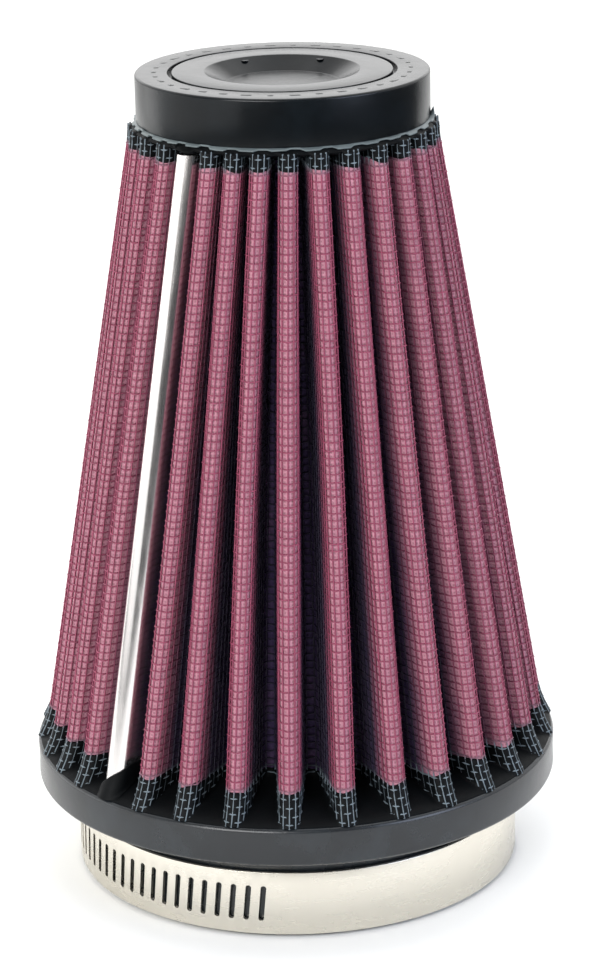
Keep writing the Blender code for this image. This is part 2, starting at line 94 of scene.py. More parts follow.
# Pleats, from the foot's end to the cap's end: (foot, cap).
PLEATS = 31
PLEAT_Z = (27.7, 146.3)
CREST_R = (49.4, 29.15)
CREST_HALF_WIDTH = (2.2, 1.95)
VALLEY_R = (36.4, 19.5)
VALLEY_HALF_WIDTH = (1.1, 0.25)
SEAM_HALF_WIDTH = (1.95, 1.75)
SEAM_INSET = 0.6
GATHER = (
    (-45.1, (-0.15, -1.85), (1.0, -2.3), (-1.9, -1.2)),
    (-43.8, (0.8, 0.6), (1.1, 1.0), (2.3, -2.0)),
)
SWAY = ((0.30, 7, 0.4), (0.16, 12, 2.1))  # of the folds at mid height: size, waves, phase
FLARE = ((33.5, 7.7, 1.5), (143.0, -4.5, 0.35))  # of the potted ends: start, run, size

# Layers, as depths below the pleats' outer surface.
OUTER_MESH_DEPTH = 0.28
GAUZE_TOP_DEPTH = 0.58
PLY_STEP = 0.14
INNER_MESH_DEPTH = 1.3
GAUZE_LEVELS = 13
OUTER_WEAVE = 0.17        # how far a wire that goes round swings in and out
INNER_WEAVE = 0.12
OUTER_MESH_Z = (25.8, 147.3)
WET_Z = ((31.4, 32.6), (143.2, 144.6))   # where the wires turn from wetted to clean

# Potting. Each sleeve's rings: share of the way to the edge, radius its folds fill to.
SLEEVE_DEPTH = 0.17       # of its skin, with the wires' tops above it
CLIP_COVER = -0.75        # and where it covers the seam clip
RAGGED = ((0.5, 31, 0.5), (0.35, 17, 0.0), (0.35, 44, 1.0), (0.3, 71, 2.0))
LIP_DEPTH = 0.62
INSIDE_DEPTH = 1.5
LOWER_SLEEVE = (
    (0.0, 50.4), (0.08, 49.8), (0.17, 48.6), (0.27, 47.2), (0.38, 45.2), (0.5, 42.6),
    (0.62, 39.9), (0.76, 37.0), (0.9, 0.0), (1.0, 0.0),
)
UPPER_SLEEVE = (
    (0.0, 28.3), (0.15, 27.6), (0.3, 26.4), (0.45, 24.9), (0.6, 23.2), (0.75, 21.4),
    (0.9, 0.0), (1.0, 0.0),
)

# Seam clip and the bead under it.
CLIP_THICKNESS = 0.35
CLIP_GAP = 0.15
CLIP_LEG = 5.0
SEAM_STEPS = 20
BEAD_HALF_HEIGHT = 0.7
BEAD_INSET = 1.42
BEAD_DROP = 0.5

# Clamp.
BAND_R = (42.8, 43.5)
BAND_Z = (0.8, 13.5)
BAND_MIDDLE_Z = sum(BAND_Z) / 2
BAND_END_ANGLE = 99.5
BAND_END_GAP = 1.5
SLOT_PITCH = 3.81
SLOT_FIRST = 260.7
SLOT_COUNT = 42
SLOT_SIZE = (1.1, 7.2)
SLOT_LEAN = 5.5
TAIL_R = 44.4
TAIL_ANGLES = (45.0, 116.0)
TAIL_RAMP = 6.0
TAIL_RAMP_DROP = 0.75
TAIL_SLOT_LAST = 107.0
TAIL_SLOTS = 14
SADDLE_R = (43.75, 44.15)
SADDLE_HALF_ANGLE = 8.3
SCREW_AXIS_R = 48.6
THREAD_R = 3.3
CORE_R = 2.3
THREAD_TURNS = 3.5
SCREW_HALF_LENGTH = 6.3
COLLAR_R = 3.9
COLLAR_X = (6.8, 7.8)
HEAD_ACROSS_FLATS = 7.0
HEAD_LENGTH = 4.5
DRIVER_SLOT = (1.2, 1.8)
HOUSING_SHEET = 0.6
HOUSING_HALF_LENGTH = 6.5
HOUSING_SHOULDER_R = 45.4
HOUSING_LEG_R = 43.1
CLEARANCE = 0.3

# Stage, in metres, watts and degrees. The card's are about the filter's axis.
CARD_R = (0.30, 4.0)
CARD_AZIMUTHS = (-200.0, 40.0)
LIGHTS = (                # name, place, target, size, power, colour
    ("key", (-0.42, -0.84, 0.5), (0.0, 0.0, 0.03), (0.6, 0.5), 7.8, (1.0, 1.0, 1.0)),
    ("fill", (0.8, -0.55, 0.4), (0.0, 0.0, 0.03), (0.6, 0.6), 5.5, (0.72, 0.8, 1.0)),
    ("top", (0.1, 0.25, 1.1), (0.0, 0.0, 0.08), (1.2, 1.2), 4.5, (1.0, 1.0, 1.0)),
    ("left", (-0.44, -0.06, 0.1), (0.0, 0.0, 0.1), (1.05, 0.2), 0.85, (1.0, 1.0, 1.0)),
    ("back", (0.0, 1.5, 0.75), (0.0, 0.0, 0.15), (2.2, 0.9), 6.0, (1.0, 1.0, 1.0)),
)
ROOM_DEPTH = (-0.35, 0.15)       # heading's Y, from the dark front to the bright back
ROOM_LIGHT = (0.22, 1.25)
CAMERA_PLACE = (0.0, -0.5916, 0.2734)
CAMERA_DOWN = 18.53
CAMERA_PAN = -0.17
CAMERA_ROLL = -1.15
LENS_LENGTH = 119.0              # mm

TURN_SIDES = 192
MERGE = 0.000002


def linear(code):
    """Linear colour, with alpha, of an sRGB hex code."""
    channels = []
    for i in (0, 2, 4):
        v = int(code[i:i + 2], 16) / 255
        channels.append(v / 12.92 if v <= 0.04045 else ((v + 0.055) / 1.055) ** 2.4)
    return (*channels, 1.0)


def colour_prop(name, description, code):
    """A colour setting whose default is an sRGB hex code."""
    return FloatVectorProperty(
        name=name, description=description, subtype="COLOR", size=4, min=0.0, max=1.0,
        default=linear(code),
    )


def length_prop(name, description, size):
    """A length setting whose default is in millimetres."""
    return FloatProperty(name=name, description=description, default=size * MM,
                         unit="LENGTH", precision=5)


class FilterSizes(PropertyGroup):
    """Sizes that a user would change."""

    wire_diameter: length_prop("Wire", "Diameter of the outer mesh's wire", 0.30)
    wire_pitch: length_prop("Wire pitch", "Distance between the wires that go round", 1.41)
    inner_wire_diameter: length_prop("Inner wire", "Diameter of the inner mesh's wire", 0.24)
    inner_wire_pitch: length_prop("Inner wire pitch", "Distance between the inner mesh's wires",
                                  2.0)
    ply_thickness: length_prop("Gauze ply", "Thickness of one ply of gauze", 0.06)
    thread_spacing: length_prop("Thread spacing", "Distance between the gauze's threads", 0.7)
    plies: IntProperty(name="Plies", description="Plies of gauze between the meshes",
                       default=4, min=1)


class FilterColours(PropertyGroup):
    """Colours that a user would change."""

    # Foot and cap are one rubber: the foot's lighter colour is a painted reflection of the
    # bright floor, the cap's darker colour a painted dark reflection.
    foot: colour_prop("Foot", "Rubber of the foot", "191C1F")
    cap: colour_prop("Cap", "Rubber of the cap", "05090C")
    potting: colour_prop("Potting", "Poured sealing compound", "07090B")
    gauze: colour_prop("Gauze", "Oiled cotton on the crests", "B47D8C")
    # Painted shade in the gauze's valleys, also used for real oil in soft blotches.
    gauze_shade_and_oil: colour_prop("Gauze, deep", "Oil-soaked cotton in the valleys", "3A2A50")
    wire: colour_prop("Wire", "Coated wire with its film of oil", "8C4058")
    # Painted shade: the wires darken towards this colour deep in the valleys.
    wire_valley_shade: colour_prop("Wire, deep", "Oily wire in the valleys", "2C2638")
    wire_potted: colour_prop("Potted wire", "Wire wetted by the potting", "6C7880")
    clip: colour_prop("Clip", "Bright aluminium of the seam clip", "E6E2E0")
    band: colour_prop("Band", "Stainless steel of the clamp", "DBD6CA")
    screw: colour_prop("Screw", "Zinc-plated steel of the screw", "B9BBBC")
    sealant: colour_prop("Sealant", "Bead inside the seam", "B9A27A")
    floor: colour_prop("Floor", "Paper under the filter", "FCFCFA")


# ---------------------------------------------------------------- shaping

def deselect():
    """Leave nothing selected."""
    if bpy.context.object and bpy.context.object.mode != "OBJECT":
        bpy.ops.object.mode_set(mode="OBJECT")
    bpy.ops.object.select_all(action="DESELECT")


def choose(piece):
    """Make a piece the only selected one."""
    deselect()
    piece.select_set(True)
    bpy.context.view_layer.objects.active = piece


def set_in_place(piece):
    """Move a piece's place, turn and size into its mesh."""
    choose(piece)
    bpy.ops.object.transform_apply(location=True, rotation=True, scale=True)


def apply_modifier(piece, kind, **settings):
    """Add a modifier with these settings and apply it."""
    choose(piece)
    modifier = piece.modifiers.new(kind.lower(), kind)
    for name, value in settings.items():
        setattr(modifier, name, value)
    bpy.ops.object.modifier_apply(modifier=modifier.name)


def cut(piece, cutter, operation="DIFFERENCE"):
    """Apply a Boolean and remove its cutter."""
    apply_modifier(piece, "BOOLEAN", operation=operation, object=cutter)
    bpy.data.objects.remove(cutter, do_unlink=True)


def joined(pieces):
    """Join pieces into the first one."""
    deselect()
    for piece in pieces:
        piece.select_set(True)
    bpy.context.view_layer.objects.active = pieces[0]
    bpy.ops.object.join()
    return pieces[0]


def block(place, size, turn=0.0):
    """A box of this size in millimetres, turned about Z, at a place in metres."""
    deselect()
    bpy.ops.mesh.primitive_cube_add(size=1.0, location=place, rotation=(0.0, 0.0, turn),
                                    scale=[side * MM for side in size])
    return bpy.context.object


def post(sides, radius, length, place=(0.0, 0.0, 0.0), turn=0.0):
    """An upright prism of this size in millimetres, at a place in metres."""
    deselect()
    bpy.ops.mesh.primitive_cylinder_add(
        vertices=sides, radius=radius * MM, depth=length * MM, location=place,
        rotation=(0.0, 0.0, turn),
    )
    set_in_place(bpy.context.object)
    return bpy.context.object


def polar(radius, azimuth, z):
    """A place in metres from a radius and a height in millimetres."""
    return radius * MM * math.cos(azimuth), radius * MM * math.sin(azimuth), z * MM


def finish_piece(piece, name, finish, body, nodes, smooth_below=35.0):
    """Name a piece, shade it, give it its finish and tie it to the frame."""
    set_in_place(piece)
    piece.name = name
    piece.data.name = name
    bpy.ops.object.shade_smooth_by_angle(angle=math.radians(smooth_below))
    piece.data.materials.clear()
    piece.data.materials.append(finish)
    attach(piece, body)
    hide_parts(*nodes)
    return piece


def rounding(centre, radius, start, end, steps=6):
    """Points of an arc in an outline, from one angle to the other in degrees."""
    angles = np.radians(np.linspace(start, end, steps + 1))
    return [(centre[0] + radius * math.cos(a), centre[1] + radius * math.sin(a))
            for a in angles]


def turned(outline, closed=True, sides=TURN_SIDES):
    """A piece turned on the Z axis from an (r, z) outline, ring by ring."""
    deselect()
    r, z = outline[0]
    bpy.ops.mesh.primitive_circle_add(
        vertices=sides, radius=r * MM, fill_type="NOTHING", location=(0.0, 0.0, z * MM),
    )
    piece = bpy.context.object
    bpy.ops.object.mode_set(mode="EDIT")
    bpy.ops.mesh.select_all(action="SELECT")
    path = outline + outline[:1] if closed else outline
    for (r_from, z_from), (r_to, z_to) in zip(path, path[1:]):
        bpy.ops.mesh.extrude_region_move(
            TRANSFORM_OT_translate={"value": (0.0, 0.0, (z_to - z_from) * MM)},
        )
        grow = r_to / r_from
        bpy.ops.transform.resize(
            value=(grow, grow, 1.0), center_override=(0.0, 0.0, z_to * MM),
        )
    bpy.ops.mesh.select_all(action="SELECT")
    if closed:
        bpy.ops.mesh.remove_doubles(threshold=MERGE)
    else:
        bpy.ops.mesh.fill_holes(sides=0)
    bpy.ops.mesh.normals_make_consistent(inside=False)
    bpy.ops.object.mode_set(mode="OBJECT")
    set_in_place(piece)
    return piece


def face_outwards(piece, merge=False):
    """Turn a piece's faces the right way out, with double points merged first if asked."""
    choose(piece)
    bpy.ops.object.mode_set(mode="EDIT")
    bpy.ops.mesh.select_all(action="SELECT")
    if merge:
        bpy.ops.mesh.remove_doubles(threshold=MERGE)
    bpy.ops.mesh.normals_make_consistent(inside=False)
    bpy.ops.object.mode_set(mode="OBJECT")


def mesh_piece(name, points, faces):
    """A piece from points in millimetres and its faces, turned the right way out."""
    mesh = bpy.data.meshes.new(name)
    mesh.from_pydata((np.asarray(points) * MM).tolist(), [], faces)
    piece = bpy.data.objects.new(name, mesh)
    bpy.context.scene.collection.objects.link(piece)
    face_outwards(piece)
    return piece


def loft(name, rings, ends="joined"):
    """A closed piece through rings of points. Its ends are joined, or closed by faces."""
    rings = np.asarray(rings)
    count, around = rings.shape[:2]
    spans = count if ends == "joined" else count - 1
    faces = []
    for i in range(spans):
        low, high = i * around, (i + 1) % count * around
        for j in range(around):
            k = (j + 1) % around
            faces.append((low + j, low + k, high + k, high + j))
    if ends != "joined":
        faces.append(tuple(range(around)))
        faces.append(tuple(range((count - 1) * around, count * around)))
    return mesh_piece(name, rings.reshape(-1, 3), faces)


def sheet_piece(name, outer, inner):
    """A thin closed piece between two grids of points of the same size."""
    rows, columns = outer.shape[:2]
    size = rows * columns
    at = np.arange(size).reshape(rows, columns)
    a, b = at[:-1, :-1].ravel(), at[:-1, 1:].ravel()
    c, d = at[1:, 1:].ravel(), at[1:, :-1].ravel()
    front = np.stack((a, b, c, d), axis=1)
    back = np.stack((d, c, b, a), axis=1) + size
    rim = np.concatenate((at[0], at[1:, -1], at[-1, -2::-1], at[-2:0:-1, 0]))
    after = np.roll(rim, -1)
    edge = np.stack((rim, rim + size, after + size, after), axis=1)
    faces = np.concatenate((front, back, edge)).tolist()
    points = np.concatenate((outer.reshape(-1, 3), inner.reshape(-1, 3)))
    return mesh_piece(name, points, faces)


def wires(name, paths, diameter):
    """Round wires along paths of points in millimetres, four-sided and closed at the ends."""
    curve = bpy.data.curves.new(name, "CURVE")
    curve.dimensions = "3D"
    curve.bevel_depth = diameter / 2
    curve.bevel_resolution = 0
    curve.use_fill_caps = True
    for path in paths:
        spline = curve.splines.new("POLY")
        spline.points.add(len(path) - 1)
        places = np.ones((len(path), 4))
        places[:, :3] = path * MM
        spline.points.foreach_set("co", places.ravel())
    piece = bpy.data.objects.new(name, curve)
    bpy.context.scene.collection.objects.link(piece)
    choose(piece)
    bpy.ops.object.convert(target="MESH")
    piece = bpy.context.object
    face_outwards(piece, merge=True)
    return piece


# ---------------------------------------------------------------- the fold

def unit(angle):
    """Unit vector of a heading, as an array."""
    return np.array((math.cos(angle), math.sin(angle)))


def heading(vector):
    """Heading of a vector."""
    return math.atan2(vector[1], vector[0])


def short_turn(start, end):
    """Signed angle from one heading to another, the short way round."""
    return (end - start + math.pi) % TURN - math.pi


def crest_azimuths(end):
    """Azimuth of every pleat's crest at one end, the seam first."""
    mean, *waves = GATHER[end]
    azimuths = []
    for k in range(PLEATS):
        turn = TURN * k / PLEATS
        nudge = mean - 90.0
        for order, (cosine, sine) in enumerate(waves, start=1):
            nudge += cosine * math.cos(order * turn) + sine * math.sin(order * turn)
        azimuths.append(turn + math.radians(nudge))
    return azimuths


def wall_heading(crest, crest_r, valley, valley_r, side):
    """Heading of the normal of the straight wall between a crest and a valley."""
    across = valley - crest
    swing = math.acos((crest_r + valley_r) / np.linalg.norm(across))
    return heading(across) - side * swing


def pleat_frame(end):
    """Crest centres, their half widths, valley centres and both wall headings."""
    azimuths = crest_azimuths(end)
    gap = VALLEY_HALF_WIDTH[end]
    crests, halves, valleys = [], [], []
    for k, azimuth in enumerate(azimuths):
        half = SEAM_HALF_WIDTH[end] if k == 0 else CREST_HALF_WIDTH[end]
        inset = SEAM_INSET if k == 0 else 0.0
        after = azimuths[k + 1] if k + 1 < PLEATS else azimuths[0] + TURN
        crests.append((CREST_R[end] - half - inset) * unit(azimuth))
        halves.append(half)
        valleys.append((VALLEY_R[end] + gap) * unit((azimuth + after) / 2))
    ahead = [wall_heading(c, h, v, gap, 1.0) for c, h, v in zip(crests, halves, valleys)]
    behind = [wall_heading(crests[k], halves[k], valleys[k - 1], gap, -1.0)
              for k in range(PLEATS)]
    return crests, halves, valleys, ahead, behind


def fold_line(end, crest_at, wall_at, valley_at, closed=False):
    """Points of the pleated surface at one end, their outward headings, pleats and folds.

    The fractions say where points lie along each crest, wall and valley. A point's pleat
    is its place in the count of pleats, and its fold runs from 0 on a crest to 1 in a
    valley. The line starts and stops at the seam, unless it is closed.
    """
    crests, halves, valleys, ahead, behind = pleat_frame(end)
    gap = VALLEY_HALF_WIDTH[end]
    rows = []
    for k in range(PLEATS):
        crest, half, valley = crests[k], halves[k], valleys[k]
        after = (k + 1) % PLEATS
        if k > 0 or closed:
            out = heading(crest)
            sweep = short_turn(behind[k], out) + short_turn(out, ahead[k])
            for t in crest_at:
                a = behind[k] + sweep * t
                rows.append((*(crest + half * unit(a)), a, k - 0.2 + 0.4 * t, 0.0))
        top = crest + half * unit(ahead[k])
        low = valley - gap * unit(ahead[k])
        for t in wall_at:
            rows.append((*(top + (low - top) * t), ahead[k], k + 0.2 + 0.25 * t, t))
        start, stop = ahead[k] + math.pi, behind[after] + math.pi
        inward = heading(-valley)
        sweep = short_turn(start, inward) + short_turn(inward, stop)
        for t in valley_at:
            a = start + sweep * t
            rows.append((*(valley + gap * unit(a)), a + math.pi, k + 0.45 + 0.1 * t, 1.0))
        low = valley - gap * unit(behind[after])
        top = crests[after] + halves[after] * unit(behind[after])
        for t in wall_at:
            place = low + (top - low) * t
            rows.append((*place, behind[after], k + 0.55 + 0.25 * t, 1.0 - t))
    return np.array(rows)


def ripple(waves, pleat):
    """Waves round the filter, each with its size, count and phase."""
    return sum(size * np.sin(count * TURN * pleat / PLEATS + phase)
               for size, count, phase in waves)


class Fold:
    """The pleated surface between its two ends, at chosen points along the fold."""

    def __init__(self, crest_at, wall_at, valley_at, closed=False):
        low, high = (fold_line(end, crest_at, wall_at, valley_at, closed)
                     for end in (0, 1))
        self.low, self.high = low, high
        self.pleat, self.fold = low[:, 3], low[:, 4]

    def at(self, z, depth):
        """Points at these heights and depths below the outer surface."""
        t = (np.broadcast_to(z, self.pleat.shape) - PLEAT_Z[0]) / (PLEAT_Z[1] - PLEAT_Z[0])
        place = self.low[:, :2] + (self.high - self.low)[:, :2] * t[:, None]
        turn = self.low[:, 2] + short_turn(self.low[:, 2], self.high[:, 2]) * t
        out = np.stack((np.cos(turn), np.sin(turn)), axis=1)
        place = place - out * np.broadcast_to(depth, self.pleat.shape)[:, None]
        away = np.hypot(place[:, 0], place[:, 1])
        along = np.stack((-place[:, 1], place[:, 0]), axis=1) / away[:, None]
        bell = np.sin(np.pi * np.clip(t, 0.0, 1.0))
        push = sum(size * np.clip((start - z) / run, 0.0, 1.0) ** 2
                   for start, run, size in FLARE)
        place = place + along * (bell * ripple(SWAY, self.pleat))[:, None]
        place = place * (1.0 + push * (1.0 - self.fold) / away)[:, None]
        return np.column_stack((place, np.broadcast_to(z, self.pleat.shape)))


def ring(fold, radius, z):
    """A round ring of points at the same azimuths as the fold's."""
    azimuth = np.arctan2(fold.low[:, 1], fold.low[:, 0])
    return np.column_stack((
        radius * np.cos(azimuth), radius * np.sin(azimuth), np.full(len(azimuth), z),
    ))


def fill_to(points, radius, outside=True):
    """Push points out, or in, to a radius, as poured compound levels in the folds."""
    away = np.hypot(points[:, 0], points[:, 1])
    level = np.maximum(away, radius) if outside else np.minimum(away, radius)
    filled = points.copy()
    filled[:, :2] *= (level / away)[:, None]
    return filled


# ---------------------------------------------------------------- finishes

def add_node(tree, kind, sockets=None, **settings):
    """Add a node with its settings, and a value or an incoming link for each socket."""
    made = tree.nodes.new(kind)
    for name, value in settings.items():
        setattr(made, name, value)
    for socket, source in (sockets or {}).items():
        if isinstance(source, bpy.types.NodeSocket):
            tree.links.new(source, made.inputs[socket])
        else:
            made.inputs[socket].default_value = source
    return made


def start_finish(name, values):
    """A new material, its tree, its shader's sockets and its coordinates."""
    made = bpy.data.materials.new(name)
    made.use_nodes = True
    tree = made.node_tree
    shader = tree.nodes["Principled BSDF"].inputs
    for socket, value in values.items():
        shader[socket].default_value = value
    return made, tree, shader, add_node(tree, "ShaderNodeTexCoord").outputs


def moulded_rubber(name, colour, bloom, roughness, specular):
    """Compression-moulded EPDM rubber.

    The eye sees a satin black with a faint grey bloom in patches and a very fine grain.
    """
    made, tree, shader, where = start_finish(name, {
        "Roughness": roughness, "Specular IOR Level": specular, "IOR": 1.5})
    place = where["Object"]
    patches = add_node(tree, "ShaderNodeTexNoise", {
        "Vector": place, "Scale": 1 / (9 * MM), "Detail": 5.0, "Roughness": 0.6})
    spread = add_node(tree, "ShaderNodeMapRange", {
        "Value": patches.outputs["Fac"], "From Min": 0.42, "From Max": 0.72})
    mix = add_node(tree, "ShaderNodeMix", {
        "Factor": spread.outputs["Result"], "A": colour, "B": bloom}, data_type="RGBA")
    tree.links.new(mix.outputs["Result"], shader["Base Color"])
    # The real grain is finer than this, which is as coarse as it needs to show.
    grain = add_node(tree, "ShaderNodeTexNoise", {
        "Vector": place, "Scale": 1 / (0.5 * MM), "Detail": 3.0})
    waves = add_node(tree, "ShaderNodeTexNoise", {
        "Vector": place, "Scale": 1 / (5 * MM), "Detail": 2.0})
    fine = add_node(tree, "ShaderNodeBump", {
        "Height": grain.outputs["Fac"], "Strength": 0.25, "Distance": 0.05 * MM})
    broad = add_node(tree, "ShaderNodeBump", {
        "Height": waves.outputs["Fac"], "Strength": 0.3, "Distance": 0.2 * MM,
        "Normal": fine.outputs["Normal"]})
    tree.links.new(broad.outputs["Normal"], shader["Normal"])
    return made


def poured_polyurethane(colours):
    """Poured black polyurethane potting.

    The eye sees a wet-looking black skin with small lumps where it set over the mesh.
    """
    made, tree, shader, where = start_finish("poured_polyurethane", {
        "Base Color": colours.potting, "Specular IOR Level": 0.1})
    lumps = add_node(tree, "ShaderNodeTexNoise", {
        "Vector": where["Object"], "Scale": 1 / (1.3 * MM), "Detail": 3.0})
    dull = add_node(tree, "ShaderNodeMapRange", {
        "Value": lumps.outputs["Fac"], "To Min": 0.4, "To Max": 0.65})
    bump = add_node(tree, "ShaderNodeBump", {
        "Height": lumps.outputs["Fac"], "Strength": 0.35, "Distance": 0.2 * MM})
    tree.links.new(dull.outputs["Result"], shader["Roughness"])
    tree.links.new(bump.outputs["Normal"], shader["Normal"])
    return made


def oiled_gauze(colours, sizes):
    """Woven cotton gauze soaked in red filter oil.

    The eye sees a matt rose cloth with an open weave, darkened by painted shade in the
    valleys and by oil in soft blotches.
    """
    made, tree, shader, where = start_finish("oiled_cotton_gauze", {
        "Roughness": 0.72, "Sheen Weight": 0.15, "Sheen Roughness": 0.5,
        "Specular IOR Level": 0.3})
    threads = [add_node(tree, "ShaderNodeTexWave", {
        "Vector": where["UV"], "Scale": TURN / 20 / sizes.thread_spacing,
        "Distortion": 1.2, "Detail": 1.0, "Detail Scale": 2.0,
    }, bands_direction=axis, wave_profile="SIN") for axis in ("X", "Y")]
    weave = add_node(tree, "ShaderNodeMath", {
        0: threads[0].outputs["Fac"], 1: threads[1].outputs["Fac"]}, operation="MAXIMUM")
    fold = add_node(tree, "ShaderNodeAttribute", attribute_name="fold")
    blotch = add_node(tree, "ShaderNodeTexNoise", {
        "Vector": where["Object"], "Scale": 1 / (6 * MM), "Detail": 4.0})
    soak = add_node(tree, "ShaderNodeMath", {0: blotch.outputs["Fac"], 1: 0.5, 2: -0.25},
                    operation="MULTIPLY_ADD")
    # Painted shade: the cloth darkens towards each valley, plus random oil blotches.
    valley_shade = add_node(tree, "ShaderNodeMapRange", {
        "Value": fold.outputs["Fac"], "From Min": 0.0, "From Max": 0.5})
    shade_and_soak = add_node(tree, "ShaderNodeMath", {
        0: valley_shade.outputs["Result"], 1: soak.outputs["Value"]}, operation="ADD",
        use_clamp=True)
    cloth = add_node(tree, "ShaderNodeMix", {
        "Factor": shade_and_soak.outputs["Value"], "A": colours.gauze, "B": colours.gauze_shade_and_oil},
        data_type="RGBA")
    shade = add_node(tree, "ShaderNodeMapRange", {
        "Value": weave.outputs["Value"], "To Min": 0.62, "To Max": 1.02})
    woven = add_node(tree, "ShaderNodeVectorMath", {
        0: cloth.outputs["Result"], 1: shade.outputs["Result"]}, operation="MULTIPLY")
    tree.links.new(woven.outputs["Vector"], shader["Base Color"])
    bump = add_node(tree, "ShaderNodeBump", {
        "Height": weave.outputs["Value"], "Strength": 0.5, "Distance": 0.1 * MM})
    tree.links.new(bump.outputs["Normal"], shader["Normal"])
    return made


def coated_wire(colours):
    """Epoxy-coated aluminium wire under a film of oil.

    The eye sees satin wires a little darker than the cloth, darkened by painted shade
    down the folds, and blue-grey where the potting wetted them.
    """
    made, tree, shader, where = start_finish("coated_wire", {
        "Roughness": 0.4, "Specular IOR Level": 0.4})
    split = add_node(tree, "ShaderNodeSeparateXYZ", {"Vector": where["Object"]}).outputs
    (low_wet, low_clean), (high_clean, high_wet) = WET_Z
    low = add_node(tree, "ShaderNodeMapRange", {
        "Value": split["Z"], "From Min": low_wet * MM, "From Max": low_clean * MM,
        "To Min": 1.0, "To Max": 0.0})
    high = add_node(tree, "ShaderNodeMapRange", {
        "Value": split["Z"], "From Min": high_clean * MM, "From Max": high_wet * MM})
    wet = add_node(tree, "ShaderNodeMath", {
        0: low.outputs["Result"], 1: high.outputs["Result"]}, operation="ADD",
        use_clamp=True)
    blotch = add_node(tree, "ShaderNodeTexNoise", {
        "Vector": where["Object"], "Scale": 1 / (1.8 * MM), "Detail": 2.0})
    film = add_node(tree, "ShaderNodeMapRange", {
        "Value": blotch.outputs["Fac"], "To Min": 0.65, "To Max": 1.25})
    flat = add_node(tree, "ShaderNodeCombineXYZ", {"X": split["X"], "Y": split["Y"]})
    away = add_node(tree, "ShaderNodeVectorMath", {0: flat.outputs["Vector"]},
                    operation="LENGTH")
    slope = (CREST_R[0] - CREST_R[1]) / (PLEAT_Z[1] - PLEAT_Z[0])
    lean = add_node(tree, "ShaderNodeMath", {
        0: split["Z"], 1: slope, 2: away.outputs["Value"]}, operation="MULTIPLY_ADD")
    crest = (CREST_R[0] + slope * PLEAT_Z[0]) * MM
    # Painted shade: the wires darken with depth below the crests.
    valley_shade = add_node(tree, "ShaderNodeMapRange", {
        "Value": lean.outputs["Value"], "From Min": crest - 1.6 * MM,
        "From Max": crest - 6.0 * MM})
    wire_with_shade = add_node(tree, "ShaderNodeMix", {
        "Factor": valley_shade.outputs["Result"], "A": colours.wire, "B": colours.wire_valley_shade},
        data_type="RGBA")
    tone = add_node(tree, "ShaderNodeMix", {
        "Factor": wet.outputs["Value"], "A": wire_with_shade.outputs["Result"],
        "B": colours.wire_potted}, data_type="RGBA")
    colour = add_node(tree, "ShaderNodeVectorMath", {
        0: tone.outputs["Result"], 1: film.outputs["Result"]}, operation="MULTIPLY")
    tree.links.new(colour.outputs["Vector"], shader["Base Color"])
    return made


def drawn_metal(name, colour, roughness, grain, anisotropic=0.0, relief=0.04):
    """Sheet or bar metal with fine drawing lines along it.

    The eye sees broad soft reflections broken by hairlines and a few dull marks.
    """
    made, tree, shader, where = start_finish(name, {
        "Base Color": colour, "Metallic": 1.0, "Anisotropic": anisotropic})
    # Real drawing lines are finer than these, which are as coarse as they need to show.
    lines = add_node(tree, "ShaderNodeMapping", {"Vector": where["Object"], "Scale": grain})
    hair = add_node(tree, "ShaderNodeTexNoise", {
        "Vector": lines.outputs["Vector"], "Scale": 1 / MM, "Detail": 4.0})
    marks = add_node(tree, "ShaderNodeTexNoise", {
        "Vector": where["Object"], "Scale": 1 / (7 * MM), "Detail": 5.0})
    both = add_node(tree, "ShaderNodeMath", {
        0: hair.outputs["Fac"], 1: marks.outputs["Fac"]}, operation="MULTIPLY")
    dull = add_node(tree, "ShaderNodeMapRange", {
        "Value": both.outputs["Value"], "From Min": 0.1, "From Max": 0.45,
        "To Min": roughness * 0.85, "To Max": roughness * 1.25})
    tree.links.new(dull.outputs["Result"], shader["Roughness"])
    bump = add_node(tree, "ShaderNodeBump", {
        "Height": hair.outputs["Fac"], "Strength": relief, "Distance": 0.02 * MM})
    tree.links.new(bump.outputs["Normal"], shader["Normal"])
    return made


def cured_sealant(colours):
    """Cured polyurethane sealant: a dull tan bead with small bubbles."""
    made, tree, shader, where = start_finish("cured_sealant", {
        "Base Color": colours.sealant, "Roughness": 0.55})
    bubbles = add_node(tree, "ShaderNodeTexVoronoi", {
        "Vector": where["Object"], "Scale": 1 / (0.8 * MM)})
    bump = add_node(tree, "ShaderNodeBump", {
        "Height": bubbles.outputs["Distance"], "Strength": 0.4, "Distance": 0.1 * MM})
    tree.links.new(bump.outputs["Normal"], shader["Normal"])
    return made


def backdrop_paper(colours):
    """Matt white background paper with a barely visible tooth."""
    made, tree, shader, where = start_finish("backdrop_paper", {
        "Base Color": colours.floor, "Roughness": 0.9, "Specular IOR Level": 0.1})
    tooth = add_node(tree, "ShaderNodeTexNoise", {
        "Vector": where["Object"], "Scale": 1 / (1.0 * MM), "Detail": 2.0})
    bump = add_node(tree, "ShaderNodeBump", {
        "Height": tooth.outputs["Fac"], "Strength": 0.05, "Distance": 0.02 * MM})
    tree.links.new(bump.outputs["Normal"], shader["Normal"])
    return made


def shared(name, make, *arguments):
    """A finish by name, made the first time that it is asked for."""
    return bpy.data.materials.get(name) or make(*arguments)


# ---------------------------------------------------------------- operators

def sizes():
    return bpy.context.scene.air_filter_sizes


def colours():
    return bpy.context.scene.air_filter_colours


def area_light(name, place, target, size, power, colour):
    """A rectangular softbox aimed at a point."""
    data = bpy.data.lights.new(name, "AREA")
    data.shape = "RECTANGLE"
    data.size, data.size_y = size
    data.energy = power
    data.color = colour
    lamp = bpy.data.objects.new(name, data)
    bpy.context.scene.collection.objects.link(lamp)
    lamp.location = place
    lamp.rotation_euler = (Vector(target) - Vector(place)).to_track_quat("-Z", "Y").to_euler()
    lamp.visible_camera = False
    return lamp


